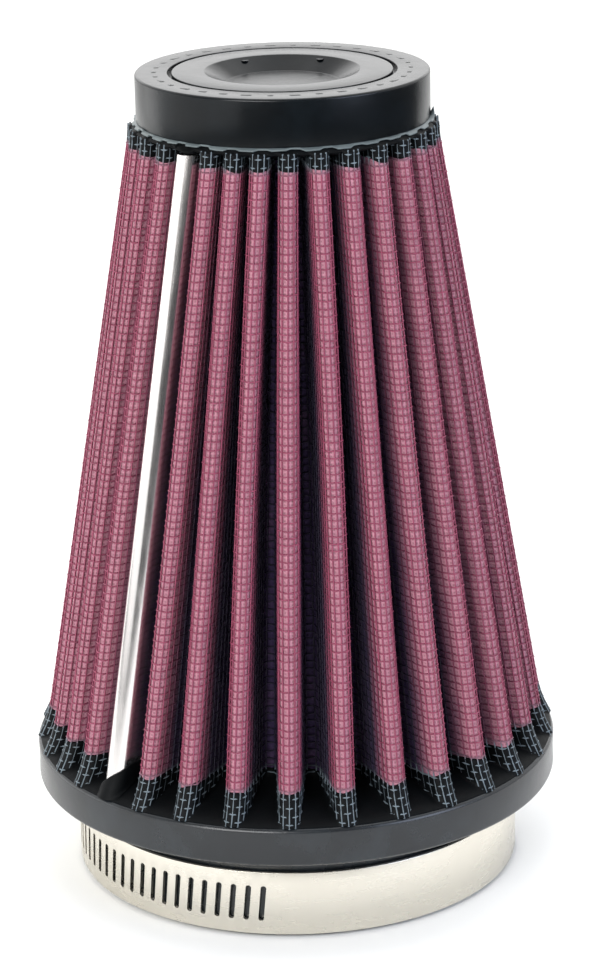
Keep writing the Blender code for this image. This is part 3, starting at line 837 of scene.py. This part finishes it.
def dark_card():
    """A black card on the floor in front, out of shot, that only reflections see."""
    azimuths = np.radians(np.linspace(*CARD_AZIMUTHS, 41))
    points = [(r * math.cos(a) / MM, r * math.sin(a) / MM, 0.5)
              for r in CARD_R for a in azimuths]
    count = len(azimuths)
    faces = [(i, i + 1, count + i + 1, count + i) for i in range(count - 1)]
    card = mesh_piece("dark_card", points, faces)
    black = bpy.data.materials.new("black_card")
    black.use_nodes = True
    shader = black.node_tree.nodes["Principled BSDF"]
    shader.inputs["Base Color"].default_value = linear("0A0A0C")
    shader.inputs["Roughness"].default_value = 0.9
    card.data.materials.append(black)
    card.visible_camera = card.visible_diffuse = card.visible_shadow = False
    return card


def white_room():
    """A pale room that is darker towards the front."""
    world = bpy.data.worlds.new("white_room")
    world.use_nodes = True
    tree = world.node_tree
    where = add_node(tree, "ShaderNodeTexCoord").outputs["Generated"]
    split = add_node(tree, "ShaderNodeSeparateXYZ", {"Vector": where})
    light = add_node(tree, "ShaderNodeMapRange", {
        "Value": split.outputs["Y"], "From Min": ROOM_DEPTH[0], "From Max": ROOM_DEPTH[1],
        "To Min": ROOM_LIGHT[0], "To Max": ROOM_LIGHT[1]})
    room = tree.nodes["Background"].inputs
    room["Color"].default_value = (1.0, 1.0, 1.0, 1.0)
    tree.links.new(light.outputs["Result"], room["Strength"])
    return world


class AIRFILTER_OT_stage(Operator):
    """Lay white paper, light it softly and set the camera"""

    bl_idname = "air_filter.stage"
    bl_label = "Stage"

    def execute(self, context):
        scene = context.scene
        deselect()
        bpy.ops.mesh.primitive_plane_add(size=12.0, location=(0.0, 0.0, 0.0))
        floor = context.object
        floor.name = "paper_floor"
        bpy.ops.object.mode_set(mode="EDIT")
        bpy.ops.mesh.subdivide(number_cuts=8)
        bpy.ops.object.mode_set(mode="OBJECT")
        floor.data.materials.append(backdrop_paper(colours()))

        for light in LIGHTS:
            area_light(*light)
        dark_card()
        scene.world = white_room()
        scene.view_settings.view_transform = "Standard"

        lens = bpy.data.cameras.new("camera")
        lens.sensor_width = 36.0
        lens.lens = LENS_LENGTH
        lens.clip_start, lens.clip_end = 0.05, 30.0
        camera = bpy.data.objects.new("camera", lens)
        scene.collection.objects.link(camera)
        camera.location = CAMERA_PLACE
        aim = Euler((math.radians(90.0 - CAMERA_DOWN), 0.0, math.radians(CAMERA_PAN)), "XYZ")
        roll = Matrix.Rotation(math.radians(CAMERA_ROLL), 4, "Z")
        camera.rotation_euler = (aim.to_matrix().to_4x4() @ roll).to_euler()
        scene.camera = camera
        return {"FINISHED"}


class AIRFILTER_OT_foot(Operator):
    """Turn the rubber neck and flange"""

    bl_idname = "air_filter.foot"
    bl_label = "Foot"

    def execute(self, context):
        low, high = FLANGE_Z
        edge = FLANGE_R - 1.0
        outline = [(TROUGH_R[1], high)]
        outline += rounding((edge, high - 1.0), 1.0, 90, 8)
        outline += [(FLANGE_R - 0.12, (low + high) / 2)]
        outline += rounding((edge, low + 1.0), 1.0, -8, -90)
        outline += rounding((NECK_R + 0.8, low - 0.8), 0.8, 90, 180, 4)
        outline += rounding((NECK_R - 0.6, 0.6), 0.6, 0, -90, 4)
        outline += [(BORE_R + 0.8, 0.0), (BORE_R, 0.8), (BORE_R, PIPE_STOP_Z - 0.4),
                    (BORE_R - 0.4, PIPE_STOP_Z), (THROAT_R + 0.5, PIPE_STOP_Z),
                    (THROAT_R, PIPE_STOP_Z + 0.5), (THROAT_R, high - 0.4),
                    (THROAT_R + 0.4, high), (TROUGH_R[0], high),
                    (TROUGH_R[0], high - TROUGH_DEPTH), (TROUGH_R[1], high - TROUGH_DEPTH)]
        piece = turned(outline)
        tint = colours()
        # Lighter copy of the cap's rubber: painted reflection of the floor.
        rubber = moulded_rubber("foot_rubber", tint.foot, linear("24292D"), 0.27, 0.5)
        finish_piece(piece, "foot", rubber, "filter", ["base_flange"])
        return {"FINISHED"}


def sleeve_depth(fold):
    """Depth of the potting's skin at each point of the closed fold."""
    on_seam = np.minimum(fold.pleat % PLEATS, -fold.pleat % PLEATS) < 0.5
    covered = on_seam & (fold.fold < 0.5)
    return np.where(covered, CLIP_COVER, SLEEVE_DEPTH)


def potting_edge(fold, level, wave, seam_low, seam_high):
    """Height of the potting's ragged edge, slanted where it crosses the seam clip."""
    edge = level + wave * ripple(RAGGED, fold.pleat)
    offset = (fold.pleat + PLEATS / 2) % PLEATS - PLEATS / 2
    on_seam = np.abs(offset) < 0.32
    slant = seam_low + (seam_high - seam_low) * np.clip((offset + 0.12) / 0.34, 0, 1) ** 0.6
    return np.where(on_seam, slant, edge)


def pour(name, node, rim, start, sleeve, edge, lip, tuck, inside, hub):
    """Potting from its trough out over the folds to a ragged edge, and back inside them.

    The rim and hub are round rings: (radius, height). The sleeve's rings lie at shares of
    the way from the start to the edge, with the folds filled out to a level radius. The
    tuck's rings lie at (height, depth), and those inside at (height, level).
    """
    fold = Fold(np.linspace(0, 1, 11), (0.15, 0.35, 0.6, 0.85), (0.0, 0.25, 0.5, 0.75, 1.0),
                closed=True)
    depth = sleeve_depth(fold)
    edge = potting_edge(fold, *edge)
    rings = [ring(fold, *place) for place in rim]
    rings += [fill_to(fold.at(start + (edge - start) * share, depth), level)
              for share, level in sleeve]
    rings.append(fold.at(edge + lip, LIP_DEPTH))
    rings += [fold.at(*place) for place in tuck]
    rings += [fill_to(fold.at(z, INSIDE_DEPTH), level, outside=False) for z, level in inside]
    rings += [ring(fold, *place) for place in hub]
    finish = shared("poured_polyurethane", poured_polyurethane, colours())
    finish_piece(loft(name, rings), name, finish, "filter", [node],
                 smooth_below=70.0)


class AIRFILTER_OT_lower_potting(Operator):
    """Pour the potting that seals the pleats into the foot"""

    bl_idname = "air_filter.lower_potting"
    bl_label = "Lower potting"

    def execute(self, context):
        inner, outer = TROUGH_R
        floor = FLANGE_Z[1] - TROUGH_DEPTH + 0.1
        rim = FLANGE_Z[1] + 0.05
        pour("lower_potting", "lower_end_seal",
             rim=((outer - 0.2, floor), (outer - 0.2, rim), (50.5, rim)),
             start=25.95, sleeve=LOWER_SLEEVE, edge=(31.3, 0.55, 26.6, 32.2), lip=0.2,
             tuck=((27.9, 0.7), (27.9, 1.1), (30.4, 1.2)),
             inside=((30.2, 60.0), (29.3, 44.0), (28.6, 39.0), (28.0, 36.0)),
             hub=((THROAT_R + 0.6, 27.4), (THROAT_R + 0.2, 27.0), (THROAT_R + 0.2, rim),
                  (inner + 0.2, rim), (inner + 0.2, floor)))
        return {"FINISHED"}


class AIRFILTER_OT_upper_potting(Operator):
    """Pour the potting that joins the pleats to the cap"""

    bl_idname = "air_filter.upper_potting"
    bl_label = "Upper potting"

    def execute(self, context):
        inner, outer = CAP_TROUGH_R
        roof = CAP_Z[0] + CAP_TROUGH_DEPTH - 0.1
        rim = CAP_Z[0] - 0.05
        pour("upper_potting", "upper_end_seal",
             rim=((outer - 0.2, roof), (outer - 0.2, rim), (27.4, rim), (27.7, 147.65)),
             start=147.0, sleeve=UPPER_SLEEVE, edge=(144.3, -0.45, 147.6, 146.2), lip=-0.2,
             tuck=((146.1, 0.7), (146.1, 1.1), (144.2, 1.2)),
             inside=((144.4, 60.0), (145.0, 27.0), (145.7, 23.0), (146.2, 20.0)),
             hub=((17.6, 146.7), (17.3, 147.1), (17.3, rim), (inner + 0.2, roof)))
        return {"FINISHED"}


class AIRFILTER_OT_gauze(Operator):
    """Fold the plies of oiled cotton gauze"""

    bl_idname = "air_filter.gauze"
    bl_label = "Gauze plies"

    def execute(self, context):
        fold = Fold(np.linspace(0, 1, 11), (0.2, 0.5, 0.8), (0.0, 0.33, 0.67, 1.0))
        cloth = oiled_gauze(colours(), sizes())
        heights = np.concatenate((np.linspace(PLEAT_Z[0], FLARE[0][0], 5)[:-1],
                                  np.linspace(FLARE[0][0], PLEAT_Z[1], GAUZE_LEVELS)))
        thickness = sizes().ply_thickness / MM
        for ply in range(sizes().plies):
            depth = GAUZE_TOP_DEPTH + PLY_STEP * ply
            outer = np.array([fold.at(z, depth) for z in heights])
            inner = np.array([fold.at(z, depth + thickness) for z in heights])
            piece = sheet_piece("gauze", outer, inner)
            middle = fold.at(sum(PLEAT_Z) / 2, depth)
            steps = np.linalg.norm(np.diff(middle, axis=0), axis=1)
            run = np.concatenate(([0.0], np.cumsum(steps)))
            flat = np.stack(np.broadcast_arrays(run[None, :], heights[:, None]), axis=-1)
            places = np.tile(flat.reshape(-1, 2), (2, 1)) * MM
            uv = piece.data.uv_layers.new(name="weave")
            corners = np.empty(len(piece.data.loops), dtype=np.int32)
            piece.data.loops.foreach_get("vertex_index", corners)
            uv.data.foreach_set("uv", places[corners].ravel())
            folds = piece.data.attributes.new("fold", "FLOAT", "POINT")
            # Inner plies are seen from inside, where crests are valleys, so their painted shade
            # turns over.
            valley_shade = fold.fold if ply < sizes().plies / 2 else 1.0 - fold.fold
            folds.data.foreach_set("value", np.tile(valley_shade, 2 * len(heights)))
            finish_piece(piece, f"gauze_{ply + 1}", cloth, "filter",
                         [f"gauze_ply_{ply + 1}"], smooth_below=60.0)
        return {"FINISHED"}


def spaced(count):
    """Middles of equal spans from 0 to 1."""
    return [(i + 0.5) / count for i in range(count)]


def wire_mesh(name, counts, pitch, diameter, depth, weave, pieces, node, reach):
    """Straight wires up the folds, and wires that weave round them."""
    crest, wall, valley = counts
    crossings = Fold(spaced(crest), spaced(wall), spaced(valley))
    halfway = sorted(spaced(crest) + [i / crest for i in range(crest + 1)])
    line = Fold(halfway, spaced(wall), spaced(valley))
    on_crossing = np.ones(len(line.pleat), dtype=bool)
    crest_points = line.fold == 0.0
    on_crossing[crest_points] = np.arange(crest_points.sum()) % (2 * crest + 1) % 2 == 1
    count = np.cumsum(on_crossing)
    low, high = reach
    steps = np.concatenate(([low], np.linspace(28.5, 34.0, 4), np.linspace(45.0, 132.0, 7),
                            np.linspace(142.0, 146.0, 3), [high]))
    grid = np.array([crossings.at(z, depth) for z in steps])
    finish = shared("coated_wire", coated_wire, colours())

    def lay(part, paths):
        piece = wires(f"{name}_{part}", paths, diameter)
        finish_piece(piece, f"{name}_{part}", finish, "filter", [node],
                     smooth_below=100.0)

    lay("upright", np.swapaxes(grid, 0, 1))
    rows = np.arange(low + pitch / 2, high, pitch)
    share = math.ceil(len(rows) / pieces)
    for i in range(pieces):
        paths = []
        for j in range(i * share, min((i + 1) * share, len(rows))):
            over = np.where((count + j) % 2 == 0, -weave, weave) * on_crossing
            wander = (0.1 * np.sin(2.3 * line.pleat + 1.7 * j)
                      + 0.05 * np.sin(7.1 * line.pleat + j))
            paths.append(line.at(rows[j] + wander, depth + over))
        lay(f"round_{i + 1}", paths)


class AIRFILTER_OT_outer_mesh(Operator):
    """Weave the outer wire mesh over the folds"""

    bl_idname = "air_filter.outer_mesh"
    bl_label = "Outer mesh"

    def execute(self, context):
        made = sizes()
        wire_mesh("outer_mesh", (5, 6, 2), made.wire_pitch / MM, made.wire_diameter,
                  OUTER_MESH_DEPTH, OUTER_WEAVE, 4, "outer_screen", OUTER_MESH_Z)
        return {"FINISHED"}


class AIRFILTER_OT_inner_mesh(Operator):
    """Weave the inner wire mesh behind the gauze"""

    bl_idname = "air_filter.inner_mesh"
    bl_label = "Inner mesh"

    def execute(self, context):
        made = sizes()
        wire_mesh("inner_mesh", (3, 4, 1), made.inner_wire_pitch / MM,
                  made.inner_wire_diameter, INNER_MESH_DEPTH, INNER_WEAVE, 2, "inner_screen",
                  PLEAT_Z)
        return {"FINISHED"}


def seam_outline(end, offset):
    """U-shaped line round the seam pleat, this far outside its surface."""
    crests, halves, _, ahead, behind = pleat_frame(end)
    crest, radius = crests[0], halves[0] + offset
    out = heading(crest)
    sweep = short_turn(behind[0], out) + short_turn(out, ahead[0])
    points = [crest + radius * unit(behind[0] + sweep * i / SEAM_STEPS)
              for i in range(SEAM_STEPS + 1)]
    legs = []
    for normal in (behind[0], ahead[0]):
        along = unit(normal + math.pi / 2)
        if np.dot(along, crest) > 0:
            along = -along
        legs.append([crest + radius * unit(normal) + along * CLIP_LEG * t
                     for t in (0.34, 0.67, 1.0)])
    return np.array(legs[0][::-1] + points + legs[1])


def bead_outline(end):
    """Oval section of the bead inside the seam pleat's crest."""
    crests, halves, _, _, _ = pleat_frame(end)
    along = crests[0] / np.linalg.norm(crests[0])
    across = np.array((-along[1], along[0]))
    reach = halves[0] - BEAD_INSET
    middle = crests[0] - along * BEAD_DROP
    return np.array([middle + reach * math.cos(a) * across
                     + BEAD_HALF_HEIGHT * math.sin(a) * along
                     for a in np.linspace(0, TURN, 12, endpoint=False)])


def seam_rows(outlines, heights):
    """Rows of points at these heights, straight from one end's outline to the other's."""
    low, high = outlines
    rows = []
    for z in heights:
        t = (z - PLEAT_Z[0]) / (PLEAT_Z[1] - PLEAT_Z[0])
        rows.append(np.column_stack((low + (high - low) * t, np.full(len(low), z))))
    return np.array(rows)


class AIRFILTER_OT_seam(Operator):
    """Fold the metal clip over the seam and lay the bead inside it"""

    bl_idname = "air_filter.seam"
    bl_label = "Seam clip"

    def execute(self, context):
        tint = colours()
        heights = np.linspace(PLEAT_Z[0] + 0.2, PLEAT_Z[1] - 0.2, 25)
        clip = sheet_piece("clip", *(
            seam_rows([seam_outline(end, offset) for end in (0, 1)], heights)
            for offset in (CLIP_GAP + CLIP_THICKNESS, CLIP_GAP)))
        metal = drawn_metal("bright_aluminium_strip", tint.clip, 0.2, (1.0, 1.0, 0.04),
                            anisotropic=0.3, relief=0.01)
        finish_piece(clip, "clip", metal, "filter", ["seam_clip"],
                     smooth_below=50.0)
        rings = seam_rows([bead_outline(end) for end in (0, 1)], heights)
        bead = loft("bead", rings, ends="closed")
        finish_piece(bead, "sealant_bead", cured_sealant(tint), "filter", ["seam_sealant"],
                     smooth_below=60.0)
        return {"FINISHED"}


def cap_marks(rubber):
    """Raised dashes round the cap's rim and two nubs by its dish."""
    top = CAP_Z[1]
    marks = []
    for i in range(CAP_MARKS):
        azimuth = TURN * i / CAP_MARKS
        length = 1.5 + 0.5 * math.sin(3.7 * i)
        mark = block(polar(MARK_R, azimuth, top), (MARK_WIDTH, length, MARK_HEIGHT), azimuth)
        set_in_place(mark)
        marks.append(mark)
    for azimuth in NUB_AZIMUTHS:
        place = polar(NUB_PLACE_R, math.radians(azimuth), top - 0.5)
        marks.append(post(16, NUB_R, 0.2, place))
    dashes = joined(marks)
    apply_modifier(dashes, "BEVEL", width=0.04 * MM, segments=2, limit_method="ANGLE")
    finish_piece(dashes, "cap_dashes", rubber, "filter", ["top_cap"])


def cap_flash():
    """The thin lip of moulding flash under the cap's edge, with one curl at its right."""
    fold = Fold(np.linspace(0, 1, 11), (0.5,), (0.0, 0.5, 1.0), closed=True)
    crest = np.cos(np.pi * np.clip(fold.fold, 0, 1) / 2) ** 2
    sag = ripple(FLASH_SAG, fold.pleat)
    azimuth = np.arctan2(fold.low[:, 1], fold.low[:, 0])
    curl = np.exp(-((azimuth + 0.06) / 0.05) ** 2)
    push = 0.35 * crest + 0.1 * sag + 0.35 * curl
    lift = 0.4 * sag - 0.25 * crest + 1.7 * curl
    rings = []
    for radius, z in FLASH_SECTION:
        outside = float(radius > CAP_R)
        points = ring(fold, 1.0, 0.0)
        points[:, :2] *= (radius + push * outside)[:, None]
        points[:, 2] = z + lift * outside
        rings.append(points)
    flash = loft("cap_flash", rings)
    # Lighter grey copy of the cap's rubber: painted light on the thin lip.
    lip = moulded_rubber("cap_flash_rubber", linear("5A6466"), linear("707A7C"), 0.4, 0.5)
    finish_piece(flash, "cap_flash", lip, "filter", ["top_cap"],
                 smooth_below=60.0)


class AIRFILTER_OT_cap(Operator):
    """Turn the rubber cap with its groove, dish, plain dashes and flash"""

    bl_idname = "air_filter.cap"
    bl_label = "Cap"

    def execute(self, context):
        low, high = CAP_Z
        inner, outer = CAP_GROOVE_R
        floor = high - DISH_DEPTH
        outline = [(0.4, floor)]
        outline += rounding((DISH_R[0] - 0.6, floor + 0.6), 0.6, -90, -35, 4)
        outline += rounding((DISH_R[1] + 0.35, high - 0.5), 0.5, 145, 90, 5)
        outline += rounding((inner - 0.15, high - 0.15), 0.15, 90, 0, 3)
        outline += [(inner, high - CAP_GROOVE_DEPTH), (outer, high - CAP_GROOVE_DEPTH)]
        outline += rounding((outer + 0.15, high - 0.15), 0.15, 180, 90, 3)
        outline += rounding((CAP_R - 0.5, high - 0.5), 0.5, 90, 0, 7)
        outline += [(CAP_R, (low + high) / 2)]
        outline += rounding((CAP_R - 0.3, low + 0.3), 0.3, 0, -90, 3)
        outline += [(CAP_TROUGH_R[1], low), (CAP_TROUGH_R[1], low + CAP_TROUGH_DEPTH),
                    (CAP_TROUGH_R[0], low + CAP_TROUGH_DEPTH), (CAP_TROUGH_R[0], low),
                    (0.4, low)]
        piece = turned(outline, closed=False)
        # Darker copy of the foot's rubber: painted dark reflection.
        rubber = moulded_rubber("cap_rubber", colours().cap, linear("0C1216"), 0.26, 0.28)
        finish_piece(piece, "cap", rubber, "filter", ["top_cap"])
        cap_marks(rubber)
        cap_flash()
        return {"FINISHED"}


def slot_cutters(radius, azimuths):
    """Leaning stadium-shaped blocks, all in one cutter."""
    width, length = SLOT_SIZE
    first = post(16, width / 2, 4, turn=math.radians(11.25))
    first.rotation_euler = (0.0, math.radians(90.0), 0.0)
    set_in_place(first)
    for vertex in first.data.vertices:
        vertex.co.z += math.copysign((length - width) / 2 * MM, vertex.co.z)
    blocks = []
    for azimuth in azimuths:
        block = first.copy()
        block.data = first.data.copy()
        bpy.context.scene.collection.objects.link(block)
        spin = Matrix.Rotation(math.radians(azimuth), 4, "Z")
        shift = Matrix.Translation((radius * MM, 0.0, BAND_MIDDLE_Z * MM))
        block.matrix_world = spin @ shift @ Matrix.Rotation(math.radians(-SLOT_LEAN), 4, "X")
        blocks.append(block)
    bpy.data.objects.remove(first, do_unlink=True)
    cutter = joined(blocks)
    set_in_place(cutter)
    return cutter


def curved_strip(name, radius, thickness, azimuths, height):
    """A strip of sheet that follows a radius, with its own half height at each azimuth."""
    a = np.radians(azimuths)
    inner_r = np.array([radius(x) for x in azimuths])
    half = np.array([height(x) for x in azimuths])
    levels = np.linspace(-1.0, 1.0, 7)
    grids = []
    for r in (inner_r + thickness, inner_r):
        grids.append(np.array([np.column_stack((r * np.cos(a), r * np.sin(a),
                                                BAND_MIDDLE_Z + half * level))
                               for level in levels]))
    return sheet_piece(name, *grids)


def band_steel():
    """Stainless strip, rolled and lightly brushed along its length."""
    return shared("stainless_strip", drawn_metal, "stainless_strip", colours().band, 0.28,
                  (0.12, 0.12, 1.0), 0.4)


class AIRFILTER_OT_band(Operator):
    """Roll the slotted clamp band and its free end"""

    bl_idname = "air_filter.band"
    bl_label = "Clamp band"

    def execute(self, context):
        inner, outer = BAND_R
        low, high = BAND_Z
        soft = 0.14
        outline = rounding((outer - soft, high - soft), soft, 90, 0, 2)
        outline += rounding((outer - soft, low + soft), soft, 0, -90, 2)
        outline += rounding((inner + soft, low + soft), soft, -90, -180, 2)
        outline += rounding((inner + soft, high - soft), soft, 180, 90, 2)
        band = turned(outline)
        cut(band, slot_cutters(inner, [SLOT_FIRST - SLOT_PITCH * k
                                       for k in range(SLOT_COUNT)]))
        end = math.radians(BAND_END_ANGLE)
        cut(band, block(polar(inner, end, BAND_MIDDLE_Z), (4, BAND_END_GAP, 20), end))
        finish_piece(band, "band", band_steel(), "clamp", ["clamp_band"])

        first, last = TAIL_ANGLES
        full = (high - low) / 2
        corner = 3.0

        def tail_radius(azimuth):
            return TAIL_R - TAIL_RAMP_DROP * max(0.0, azimuth - last + TAIL_RAMP) / TAIL_RAMP

        def tail_height(azimuth):
            run = math.radians(azimuth - first) * TAIL_R
            if run >= corner:
                return full
            return full - corner + math.sqrt(corner ** 2 - (corner - run) ** 2)

        azimuths = np.concatenate((np.linspace(first, first + 4, 9),
                                   np.linspace(first + 5, last, 60)))
        tail = curved_strip("band_free_end", tail_radius, outer - inner, azimuths, tail_height)
        cut(tail, slot_cutters(TAIL_R, [TAIL_SLOT_LAST - SLOT_PITCH * k
                                        for k in range(TAIL_SLOTS)]))
        finish_piece(tail, "band_free_end", band_steel(), "tail", ["band_tail"])
        return {"FINISHED"}


class AIRFILTER_OT_housing(Operator):
    """Bend the screw's housing and its saddle"""

    bl_idname = "air_filter.housing"
    bl_label = "Screw housing"

    def execute(self, context):
        half_band = (BAND_Z[1] - BAND_Z[0]) / 2 + 0.15
        bore = THREAD_R + CLEARANCE

        def section(offset):
            leg, wall = half_band + offset, bore + offset
            shoulder = HOUSING_SHOULDER_R + offset
            side = [(leg, HOUSING_LEG_R), (leg, shoulder - 1.0)]
            side += rounding((leg - 0.6, shoulder - 0.6), 0.6, 0, 90, 3)
            side += [(wall + 0.4, shoulder), (wall, shoulder + 0.5)]
            arch = rounding((0.0, SCREW_AXIS_R), wall, 0, 180, steps=28)
            return side + arch + [(-x, y) for x, y in side[::-1]]

        stations = np.linspace(-HOUSING_HALF_LENGTH, HOUSING_HALF_LENGTH, 9)
        grids = []
        for offset in (HOUSING_SHEET, 0.0):
            line = np.array(section(offset))
            grids.append(np.array([np.column_stack((np.full(len(line), x), line[:, 1],
                                                    BAND_MIDDLE_Z + line[:, 0]))
                                   for x in stations]))
        housing = sheet_piece("housing", *grids)
        apply_modifier(housing, "BEVEL", width=0.12 * MM, segments=2, limit_method="ANGLE",
                       angle_limit=math.radians(50))
        finish_piece(housing, "housing", band_steel(), "clamp", ["clamp_housing"])

        azimuths = np.linspace(90 - SADDLE_HALF_ANGLE, 90 + SADDLE_HALF_ANGLE, 24)
        full = (BAND_Z[1] - BAND_Z[0]) / 2
        saddle = curved_strip("saddle", lambda _: SADDLE_R[0], SADDLE_R[1] - SADDLE_R[0],
                              azimuths, lambda _: full)
        finish_piece(saddle, "saddle", band_steel(), "clamp", ["clamp_saddle"])
        return {"FINISHED"}


class AIRFILTER_OT_screw(Operator):
    """Turn the worm screw with its thread, collar and slotted head"""

    bl_idname = "air_filter.screw"
    bl_label = "Worm screw"

    def execute(self, context):
        start, stop = COLLAR_X
        end = stop + HEAD_LENGTH
        outline = [(0.3, -SCREW_HALF_LENGTH), (CORE_R - 0.4, -SCREW_HALF_LENGTH),
                   (CORE_R, -SCREW_HALF_LENGTH + 0.4), (CORE_R, start)]
        outline += rounding((COLLAR_R - 0.2, start + 0.2), 0.2, -90, 0, 3)
        outline += rounding((COLLAR_R - 0.2, stop - 0.2), 0.2, 0, 90, 3)
        outline += [(CORE_R, stop), (CORE_R, stop + 1.0), (0.3, stop + 1.0)]
        shaft = turned(outline, closed=False, sides=48)
        corner = HEAD_ACROSS_FLATS / 2 / math.cos(math.radians(30.0))
        head = post(6, corner, HEAD_LENGTH + 0.2, (0.0, 0.0, (stop + end - 0.2) / 2 * MM))
        dome = turned([(0.4, stop - 1.0), (corner + 0.6, stop - 1.0),
                       (corner + 0.6, end - 1.2), (corner - 0.5, end), (0.4, end)],
                      closed=False, sides=48)
        cut(head, dome, "INTERSECT")
        width, depth = DRIVER_SLOT
        cut(head, block((0.0, 0.0, end * MM), (12, width, 2 * depth)))
        pitch = math.radians(SLOT_PITCH) * (TAIL_R + 0.35)
        rings = []
        steps = 40
        count = round(THREAD_TURNS * steps)
        for i in range(count + 1):
            a = TURN * i / steps
            along = pitch * (i / steps - THREAD_TURNS / 2)
            grow = min(1.0, i / 8, (count - i) / 8)
            tip = CORE_R - 0.2 + (THREAD_R - CORE_R + 0.2) * grow
            section = ((CORE_R - 0.3, -0.75), (tip - 0.12, -0.36), (tip, -0.22), (tip, 0.22),
                       (tip - 0.12, 0.36), (CORE_R - 0.3, 0.75))
            rings.append([(r * math.cos(a), r * math.sin(a), along + w) for r, w in section])
        thread = loft("thread", rings, ends="closed")
        screw = joined([shaft, head, thread])
        turn = Matrix(((0, 0, 1, 0), (0, 1, 0, SCREW_AXIS_R * MM),
                       (-1, 0, 0, BAND_MIDDLE_Z * MM), (0, 0, 0, 1)))
        screw.matrix_world = turn
        set_in_place(screw)
        steel = drawn_metal("zinc_plated_steel", colours().screw, 0.3, (1.0, 0.2, 0.2))
        finish_piece(screw, "worm_screw", steel, "screw", ["clamp_screw"])
        return {"FINISHED"}


class AIRFILTER_PT_builder(Panel):
    """Buttons for the stage and every piece, in building order"""

    bl_idname = "AIRFILTER_PT_builder"
    bl_label = "Air Filter"
    bl_space_type = "VIEW_3D"
    bl_region_type = "UI"
    bl_category = "Air Filter"

    def draw(self, context):
        for operator in OPERATORS:
            self.layout.operator(operator.bl_idname)
        for group in (context.scene.air_filter_sizes, context.scene.air_filter_colours):
            box = self.layout.box()
            for name in group.__annotations__:
                box.prop(group, name)


OPERATORS = (
    AIRFILTER_OT_stage,
    AIRFILTER_OT_foot,
    AIRFILTER_OT_lower_potting,
    AIRFILTER_OT_gauze,
    AIRFILTER_OT_outer_mesh,
    AIRFILTER_OT_inner_mesh,
    AIRFILTER_OT_seam,
    AIRFILTER_OT_upper_potting,
    AIRFILTER_OT_cap,
    AIRFILTER_OT_band,
    AIRFILTER_OT_housing,
    AIRFILTER_OT_screw,
)
CLASSES = (FilterSizes, FilterColours, *OPERATORS, AIRFILTER_PT_builder)


def register():
    for made in CLASSES:
        bpy.utils.register_class(made)
    bpy.types.Scene.air_filter_sizes = PointerProperty(type=FilterSizes)
    bpy.types.Scene.air_filter_colours = PointerProperty(type=FilterColours)


def unregister():
    del bpy.types.Scene.air_filter_colours
    del bpy.types.Scene.air_filter_sizes
    for made in reversed(CLASSES):
        bpy.utils.unregister_class(made)


def main():
    """Register and build every piece in order."""
    register()
    bpy.ops.air_filter.stage()
    bpy.ops.air_filter.foot()
    bpy.ops.air_filter.lower_potting()
    bpy.ops.air_filter.gauze()
    bpy.ops.air_filter.outer_mesh()
    bpy.ops.air_filter.inner_mesh()
    bpy.ops.air_filter.seam()
    bpy.ops.air_filter.upper_potting()
    bpy.ops.air_filter.cap()
    bpy.ops.air_filter.band()
    bpy.ops.air_filter.housing()
    bpy.ops.air_filter.screw()


if __name__ == "__main__":
    main()
